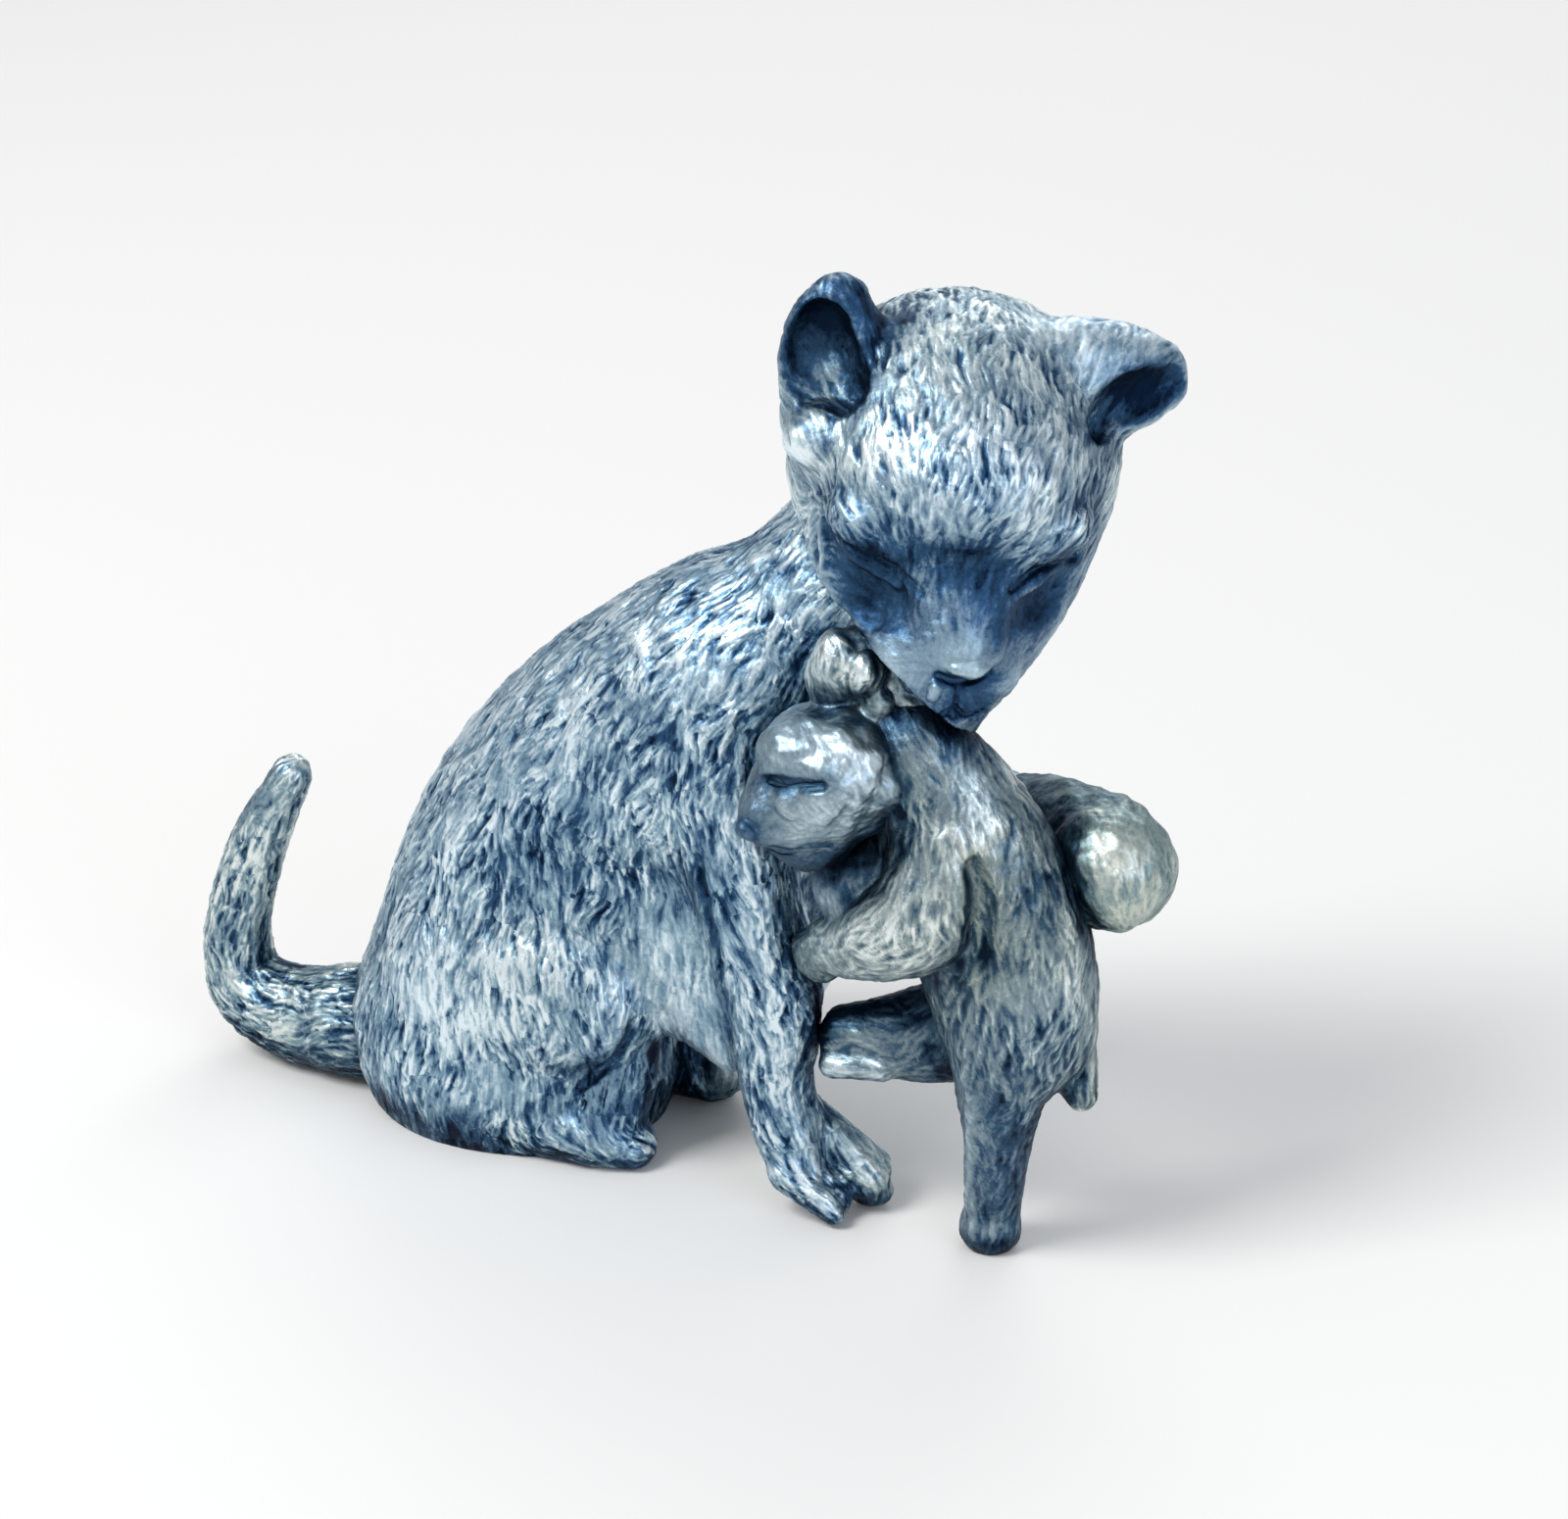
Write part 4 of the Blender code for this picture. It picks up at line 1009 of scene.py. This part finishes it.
@dataclass
class Kitten:
    """The kitten: an upright body that leans back, and its small round head."""

    head: Pose = Pose((16.5, -8.0, 24.0), -116.0, 20.0, -25.0)
    nose: Triple = (5.0, 0, -1.2)
    body_step: float = 0.11
    head_step: float = 0.08

    def body(self) -> Casting:
        """Neck, breast, belly, foreleg, both hind legs and the short tail."""
        mould = Mould()
        for sculpt in (self.trunk, self.hind_legs, self.foreleg):
            sculpt(mould)
        return Casting("kitten_body_cast", ("kitten_body",), "kitten_metal", mould.forms, self.body_step,
                       relief=0.13, tufts=0.1)

    def trunk(self, mould: Mould) -> None:
        """Back, breast, rump, nape, tail and throat."""
        down = leaning(0.1, 0.0, -1.0)
        # Trunk, a little darker: painted shade on the body below the arm.
        mould.limb(1.0, (19.3, -6.4, 24.4, 2.6, 2.5), (21.4, -5.5, 21.2, 3.1, 3.4),
                   (22.6, -4.7, 17.2, 3.4, 4.1), (23.2, -3.9, 13.4, 3.3, 3.9), (23.7, -3.7, 11.4, 3.0, 3.3),
                   fur=0.8, rub=-0.1, warm=0.35, **down)
        # Breast, darker: painted shade under the head and arm.
        mould.ball(1.4, (19.4, -5.2, 18.8), (3.2, 2.8, 3.7), fur=0.4, rub=-0.15, **down)
        mould.ball(1.0, (24.1, -4.9, 13.6), (2.7, 2.3, 3.5), rub=0.05, lean=(-0.2, 0, -1))
        mould.limb(1.0, (18.8, -6.6, 26.0, 1.7, 1.6), (20.2, -6.6, 25.6, 1.7, 1.6),
                   (21.4, -6.0, 23.6, 1.9, 2.0), fur=0.6, **leaning(0.6, 0.0, -0.8))
        mould.limb(0.35, (25.0, -2.8, 12.0, 1.1, 1.1), (25.6, -3.0, 10.2, 1.3, 1.25),
                   (26.4, -3.3, 8.7, 0.8, 0.75), fur=0.8, rub=0.05, warm=0.4)
        # Throat, a little darker: painted shade under the head.
        mould.ball(1.2, (16.9, -6.6, 18.3), (2.0, 2.0, 2.2), fur=0.2, rub=-0.05, **down)

    def hind_legs(self, mould: Mould) -> None:
        """Standing leg and its foot, the leg braced against the mother, a tendon and a foot."""
        # Standing leg, painted dark: painted shade on its shadowed side.
        mould.limb(1.0, (23.6, -4.6, 12.2, 2.6, 3.0), (23.1, -4.6, 8.8, 2.0, 2.05),
                   (22.7, -4.0, 5.0, 1.45, 1.4), (22.3, -3.4, 2.2, 1.25, 1.25), (22.1, -3.3, 0.9, 1.3, 1.35),
                   fur=0.8, rub=-0.32)
        mould.ball(0.6, (22.1, -3.4, 1.1), (1.3, 1.3, 1.2), fur=0.4, rub=0.2)
        # Braced leg, painted dark and warm: painted shade under the body and arm.
        mould.limb(1.0, (21.8, -2.4, 11.0, 2.4, 2.8), (18.5, -2.8, 9.6, 1.7, 2.3),
                   (14.8, -3.4, 8.8, 1.3, 1.6), fur=0.6, rub=-0.25, warm=0.3)
        mould.limb(0.35, (22.6, -6.5, 9.2, 0.3, 0.35), (22.2, -5.7, 6.4, 0.3, 0.35),
                   (21.6, -4.4, 2.6, 0.25, 0.3), (21.5, -3.9, 0.6, 0.2, 0.25), fur=0.2, rub=0.2)
        mould.limb(0.6, (14.6, -4.3, 7.9, 0.8, 0.7), (17.0, -4.2, 8.2, 0.7, 0.6), fur=0.9, rub=0.08)

    def foreleg(self, mould: Mould) -> None:
        """Foreleg that points to the mother, its paw, and the groove behind it."""
        mould.limb(0.4, (21.4, -7.0, 21.4, 2.0, 2.5), (20.9, -7.9, 18.2, 2.1, 2.4),
                   (18.2, -7.6, 16.3, 1.8, 2.0), (14.0, -5.4, 13.9, 0.9, 1.0), fur=0.8, rub=0.04, warm=0.3)
        mould.ball(0.8, (14.6, -5.6, 13.4), (1.0, 0.8, 0.8), fur=0.4, rub=-0.3, warm=0.5)
        mould.limb(0.6, (23.4, -8.4, 21.0, 0.4, 0.4), (23.8, -8.5, 19.0, 0.6, 0.6),
                   (23.6, -8.6, 16.6, 0.7, 0.7), (22.0, -8.6, 14.0, 0.7, 0.7), (20.0, -8.0, 12.4, 0.6, 0.6),
                   role=Role.CARVE, fur=0.5, rub=-0.25, warm=0.8)

    def cast_head(self) -> Casting:
        """Round skull, snout and small ears."""
        mould = Mould(self.head)
        for sculpt in (self.skull, self.ears, self.face_lines):
            sculpt(mould)
        return Casting("kitten_head_cast", ("kitten_head",), "kitten_metal", mould.forms, self.head_step,
                       relief=0.1, tufts=0.08, lumps=0.1)

    def skull(self, mould: Mould) -> None:
        """Skull, snout, jaw, cheek, brow and forehead."""
        combed = {"comb": Comb.AWAY, "lean": self.head.point(*self.nose)}
        mould.ball(0.6, (0, 0, 0), (3.4, 3.2, 3.3), fur=0.5, rub=0.04, **combed)
        mould.limb(0.8, (1.2, 0, -0.6, 2.6, 2.5), (2.5, -0.3, -0.75, 2.1, 2.0),
                   (3.5, -0.35, -0.6, 1.4, 1.35), fur=0.15, **combed)
        # Jaw, its underside painted dark and warm: painted shade under the head.
        mould.ball(0.8, (1.7, 0.5, -2.3), (2.0, 1.8, 1.6), fur=0.0, rub=-0.35, warm=0.4)
        mould.ball(0.5, (-0.7, 2.6, 0.6), (0.9, 0.9, 1.2), fur=0.3)
        mould.ball(0.6, (1.9, 1.3, 1.1), (1.1, 1.3, 1.2), fur=0.1, rub=0.1)
        mould.ball(1.2, (1.5, -0.8, 1.6), (1.7, 1.7, 1.7), fur=0.1, rub=-0.08)
        mould.ball(1.0, (0.4, 0.8, 1.6), (2.2, 2.0, 1.8), fur=0.3, rub=0.25)

    def ears(self, mould: Mould) -> None:
        """Lobed far ear and the fold that runs from it to the neck, near ear and brow."""
        for blend, centre, halves, rub, warm in ((0.5, (-1.5, -1.8, 3.4), (1.3, 1.3, 1.6), 0.15, 0.1),
                                                 (0.5, (-1.7, -1.8, 4.5), (1.1, 1.1, 1.5), 0.22, 0.15),
                                                 (0.6, (-2.7, -1.3, 3.5), (1.4, 1.5, 1.9), 0.15, 0.15),
                                                 (0.5, (-2.1, -0.5, 4.6), (1.0, 0.9, 1.2), 0.15, 0.15)):
            mould.ball(blend, centre, halves, fur=0.7, rub=rub, warm=warm)
        mould.limb(0.4, (-2.0, -2.1, 5.2, 0.7, 0.7), (-2.7, -1.4, 5.1, 0.8, 0.8),
                   (-3.2, -0.6, 4.5, 0.9, 0.9), (-3.5, 0.0, 3.5, 1.0, 1.0), (-3.8, 1.0, 2.3, 1.2, 1.2),
                   (-4.1, 1.9, 0.9, 1.3, 1.3), side=ACROSS, fur=1.0, rub=-0.02, warm=0.2)
        mould.limb(0.3, (-1.5, 0.3, 2.2, 0.9, 0.8), (-2.1, 0.2, 3.2, 0.75, 0.65),
                   (-2.2, 0.1, 3.5, 0.6, 0.55), fur=0.0, rub=0.3)
        mould.ball(0.4, (3.0, 0.6, 0.9), (0.7, 0.8, 0.7), fur=0.0, rub=0.25)

    def face_lines(self, mould: Mould) -> None:
        """Slit of the eye and its lid, mouth, far cheek and the dark tip of the nose."""
        mould.etch(((-0.7, 1.45), (0.0, 1.75), (0.8, 2.1), (1.6, 2.5)), 0.24, blend=0.5, rub=-0.4)
        mould.etch(((-0.7, 1.3), (0.0, 1.55), (0.8, 2.0), (1.5, 2.4)), 0.1, rub=-0.3)
        mould.etch(((-1.2, -1.6), (0.0, -1.8), (1.3, -1.6)), 0.12, rub=-0.4)
        mould.etch(((4.3, -0.9), (3.7, -0.95), (3.0, -0.95), (2.3, -1.1)), 0.12, (0, -1, 0), blend=0.2,
                   rub=-0.4)
        mould.ball(0.1, (4.75, -0.25, -0.4), (0.5, 0.55, 0.48), fur=0.0, rub=-0.35)


def linear(code: str) -> tuple[float, float, float, float]:
    """Linear colour of an sRGB hex code: each part to the power 2.4 past the toe."""
    parts = np.array([int(code[i:i + 2], 16) for i in (0, 2, 4)]) / 255
    line = np.where(parts <= 0.04045, parts / 12.92, ((parts + 0.055) / 1.055)**2.4)
    return (*(float(v) for v in line), 1.0)


def add_node(tree: bpy.types.NodeTree, kind: str, settings: dict[str, object] | None = None,
             links: dict[str, bpy.types.NodeSocket] | None = None) -> bpy.types.Node:
    """Add a node to a tree.

    Args:
        tree: Node tree of a material.
        kind: Type of shader node.
        settings: Properties and unlinked inputs, by name.
        links: Inputs to link, by name.

    Returns:
        The new node.
    """
    node = tree.nodes.new(f"ShaderNode{kind}")
    for key, value in (settings or {}).items():
        if isinstance(key, int) or key in node.inputs:
            node.inputs[key].default_value = value
        else:
            setattr(node, key, value)
    for key, socket in (links or {}).items():
        tree.links.new(socket, node.inputs[key])
    return node


@dataclass(frozen=True)
class AgedMetal:
    """White metal, dipped in a dark patina and rubbed back.

    A tin alloy, spun cast in rubber and relieved by hand. The patina stays in the
    grooves, nearly black and blue, and each rubbed ridge shows bare silver metal.
    Tuft and hair are widths in millimetres; patches and grains are counted to the
    millimetre. The stops are shares of bare metal, one for each colour; where that
    share is lowered as painted shade, the same colours paint the shade, and the
    tarnished tint paints brown shade in the hollows.
    """

    name: str = "aged white metal"
    groove: str = "0e1f36"
    shadow: str = "345679"
    middle: str = "8dabbd"
    bright: str = "e6f4fa"
    tarnish_and_shade: str = "f2dcb4"
    stops: tuple[float, ...] = (0.08, 0.32, 0.56, 0.82)
    patches: float = 0.42
    patchy: float = 0.3
    grains: float = 5.2
    grainy: float = 0.25
    dull: float = 0.52
    polished: float = 0.38
    streak: float = 1.0
    tuft: float = 1.3
    hair: float = 0.24
    stretch: float = 7.0
    apart: float = 37.0
    scratch: float = 0.35
    bump: float = 0.7
    bump_height: float = 0.08

    def build(self) -> bpy.types.Material:
        """Make the material: the share of bare metal, lowered in places as painted shade, sets colour and
        gloss, a fine grain roughens both.
        """
        material = bpy.data.materials.new(self.name)
        material.use_nodes = True
        tree = material.node_tree
        shader = tree.nodes["Principled BSDF"]
        shader.inputs["Metallic"].default_value = 1.0
        place = add_node(tree, "TexCoord").outputs["Object"]
        wear_and_shading = add_node(tree, "Attribute", {"attribute_name": "wear_and_shading"}).outputs["Fac"]
        patchy = add_node(tree, "TexNoise", {
            "Scale": self.patches / MM, "Detail": 4.0, "Roughness": 0.6}, {"Vector": place}).outputs["Fac"]
        grit = add_node(tree, "TexNoise", {
            "Scale": self.grains / MM, "Detail": 3.0, "Roughness": 0.7}, {"Vector": place}).outputs["Fac"]
        streaks = self.streaks(tree, place)
        total = wear_and_shading
        for pattern, strength in ((patchy, self.patchy), (grit, self.grainy), (streaks, self.streak)):
            part = add_node(tree, "Math", {
                "operation": "MULTIPLY_ADD", 1: strength, 2: -strength / 2}, {0: pattern})
            total = add_node(tree, "Math", {"operation": "ADD", "use_clamp": True},
                             {0: total, 1: part.outputs[0]}).outputs[0]
        ramp = add_node(tree, "ValToRGB", links={"Fac": total})
        while len(ramp.color_ramp.elements) < len(self.stops):
            ramp.color_ramp.elements.new(0.5)
        codes = (self.groove, self.shadow, self.middle, self.bright)
        for element, position, code in zip(ramp.color_ramp.elements, self.stops, codes):
            element.position = position
            element.color = linear(code)
        warm = add_node(tree, "Attribute", {"attribute_name": "warm"}).outputs["Fac"]
        tinted = add_node(tree, "MixRGB", {
            "blend_type": "MULTIPLY", "Color2": linear(self.tarnish_and_shade)}, {
            "Fac": warm, "Color1": ramp.outputs["Color"]})
        tree.links.new(tinted.outputs["Color"], shader.inputs["Base Color"])
        gloss = add_node(tree, "MapRange", {"To Min": self.dull, "To Max": self.polished},
                         {"Value": total})
        tree.links.new(gloss.outputs["Result"], shader.inputs["Roughness"])
        relief = add_node(tree, "Math", {"operation": "MULTIPLY_ADD", 1: self.scratch},
                          {0: grit, 2: streaks})
        bump = add_node(tree, "Bump", {
            "Strength": self.bump, "Distance": self.bump_height * MM}, {"Height": relief.outputs[0]})
        tree.links.new(bump.outputs["Normal"], shader.inputs["Normal"])
        return material

    def streaks(self, tree: bpy.types.NodeTree, place: bpy.types.NodeSocket) -> bpy.types.NodeSocket:
        """Hairs too fine for the mesh: noise drawn out along the fur, tuft by tuft.

        In each tuft, a cell of chance shape, the offset from its middle is shortened
        along the fur, and the noise is read there, each tuft in its own part of it.
        Where there is no fur the value is a half.

        Args:
            tree: Node tree of the material.
            place: Object coordinates.

        Returns:
            Height between nought and one.
        """
        lie = add_node(tree, "Attribute", {"attribute_name": "lie"}).outputs["Vector"]
        fur = add_node(tree, "Attribute", {"attribute_name": "fur"}).outputs["Fac"]
        middle = add_node(tree, "TexVoronoi", {"Scale": 1 / (self.tuft * MM)},
                          {"Vector": place}).outputs["Position"]

        def vector(operation: str, links: dict[str, object], **settings: float) -> bpy.types.Node:
            """Node of vector arithmetic."""
            return add_node(tree, "VectorMath", {"operation": operation, **settings}, links)

        offset = vector("SUBTRACT", {0: place, 1: middle}).outputs[0]
        along = vector("DOT_PRODUCT", {0: offset, 1: lie}).outputs["Value"]
        back = add_node(tree, "Math", {"operation": "MULTIPLY", 1: 1 / self.stretch - 1}, {0: along})
        drawn = vector("SCALE", {0: lie, "Scale": back.outputs[0]})
        short = vector("ADD", {0: offset, 1: drawn.outputs[0]})
        apart = vector("SCALE", {0: middle}, Scale=self.apart)
        spot = vector("ADD", {0: short.outputs[0], 1: apart.outputs[0]})
        hairs = add_node(tree, "TexNoise", {"Scale": 1 / (self.hair * MM), "Detail": 2.0},
                         {"Vector": spot.outputs[0]})
        level = add_node(tree, "Math", {"operation": "SUBTRACT", 1: 0.5}, {0: hairs.outputs["Fac"]})
        return add_node(tree, "Math", {"operation": "MULTIPLY_ADD", 2: 0.5},
                        {0: level.outputs[0], 1: fur}).outputs[0]


@dataclass(frozen=True)
class Lamp:
    """Soft square lamp: place and size in metres, power in watts, sRGB colour."""

    name: str
    place: Triple
    size: float
    power: float
    colour: str = "ffffff"
    middle: Triple = (0.008, -0.002, 0.02)

    def hang(self) -> None:
        """Hang the lamp where it looks at the middle of the group."""
        light = bpy.data.lights.new(self.name, "AREA")
        light.size = self.size
        light.energy = self.power
        light.color = linear(self.colour)[:3]
        lamp = bpy.data.objects.new(self.name, light)
        lamp.location = self.place
        away = Vector(self.place) - Vector(self.middle)
        lamp.rotation_euler = away.to_track_quat("Z", "Y").to_euler()
        bpy.context.scene.collection.objects.link(lamp)


@dataclass(frozen=True)
class Studio:
    """Pale floor, soft lamps and the camera.

    Angles are degrees. The camera looks past the origin, so far to the right and
    up in the picture, in millimetres.
    """

    azimuth: float = 28.0
    elevation: float = 22.0
    distance: float = 200.0
    lens: float = 94.5
    aim_right: float = 180.0 / 21.0
    aim_up: float = 360.0 / 21.0
    floor_half: float = 3.0
    floor_colour: str = "e9e7e3"
    air_colour: str = "e4e8ee"
    air_power: float = 0.7
    lights: tuple[Lamp, ...] = (
        Lamp("key", (-0.16, -0.30, 0.42), 0.22, 1.9),
        Lamp("fill", (0.42, -0.24, 0.22), 0.30, 0.6, "e6eeff"),
        Lamp("back", (-0.10, 0.36, 0.34), 0.30, 0.5),
    )

    def floor(self) -> None:
        """Wide pale floor that the group stands on."""
        half = self.floor_half
        corners = [(-half, -half, 0.0), (half, -half, 0.0), (half, half, 0.0), (-half, half, 0.0)]
        mesh = bpy.data.meshes.new("floor")
        mesh.from_pydata(corners, [], [(0, 1, 2, 3)])
        floor = bpy.data.objects.new("floor", mesh)
        bpy.context.scene.collection.objects.link(floor)
        material = bpy.data.materials.new("pale floor")
        material.use_nodes = True
        shader = material.node_tree.nodes["Principled BSDF"]
        shader.inputs["Base Color"].default_value = linear(self.floor_colour)
        shader.inputs["Roughness"].default_value = 0.9
        mesh.materials.append(material)

    def lamps(self) -> None:
        """Key from the upper left of the camera, fill from the right, and a low world."""
        for lamp in self.lights:
            lamp.hang()
        world = bpy.data.worlds.new("studio")
        bpy.context.scene.world = world
        world.use_nodes = True
        background = world.node_tree.nodes["Background"]
        background.inputs["Color"].default_value = linear(self.air_colour)
        background.inputs["Strength"].default_value = self.air_power

    def camera(self) -> None:
        """Camera at the photograph's angle."""
        a, e = math.radians(self.azimuth), math.radians(self.elevation)
        right = np.array([math.cos(a), math.sin(a), 0.0])
        ahead = np.array([-math.sin(a) * math.cos(e), math.cos(a) * math.cos(e), -math.sin(e)])
        up = np.cross(right, ahead)
        aim = self.aim_right * right + self.aim_up * up
        place = (aim - self.distance * ahead) * MM
        turned = Matrix([[*right], [*up], [*(-ahead)]]).transposed().to_4x4()
        turned.translation = Vector(place)
        data = bpy.data.cameras.new("camera")
        data.lens = self.lens
        data.sensor_width = 36.0
        data.clip_start = 0.005
        camera = bpy.data.objects.new("camera", data)
        camera.matrix_world = turned
        bpy.context.scene.collection.objects.link(camera)
        bpy.context.scene.camera = camera


def main() -> None:
    """Build the castings in order, then the studio."""
    logging.basicConfig(level=logging.INFO)
    scene = bpy.context.scene
    scene.view_settings.view_transform = "Standard"
    mother, kitten = Mother(), Kitten()
    castings = [mother.body(), mother.cast_head(), mother.tail(), mother.far_foreleg(),
                kitten.body(), kitten.cast_head()]
    shade = Shade(castings)
    finishes = {
        "aged_metal": AgedMetal().build(),
        "burnished_metal": AgedMetal("burnished white metal", middle="93adbd", polished=0.4,
                                     streak=0.8).build(),
        "kitten_metal": AgedMetal("rubbed white metal", shadow="3a5873", middle="8da2ac", polished=0.3,
                                  streak=0.5).build(),
    }
    for casting in castings:
        casting.build(shade, finishes[casting.slot])
    studio = Studio()
    studio.floor()
    studio.lamps()
    studio.camera()


if __name__ == "__main__":
    main()
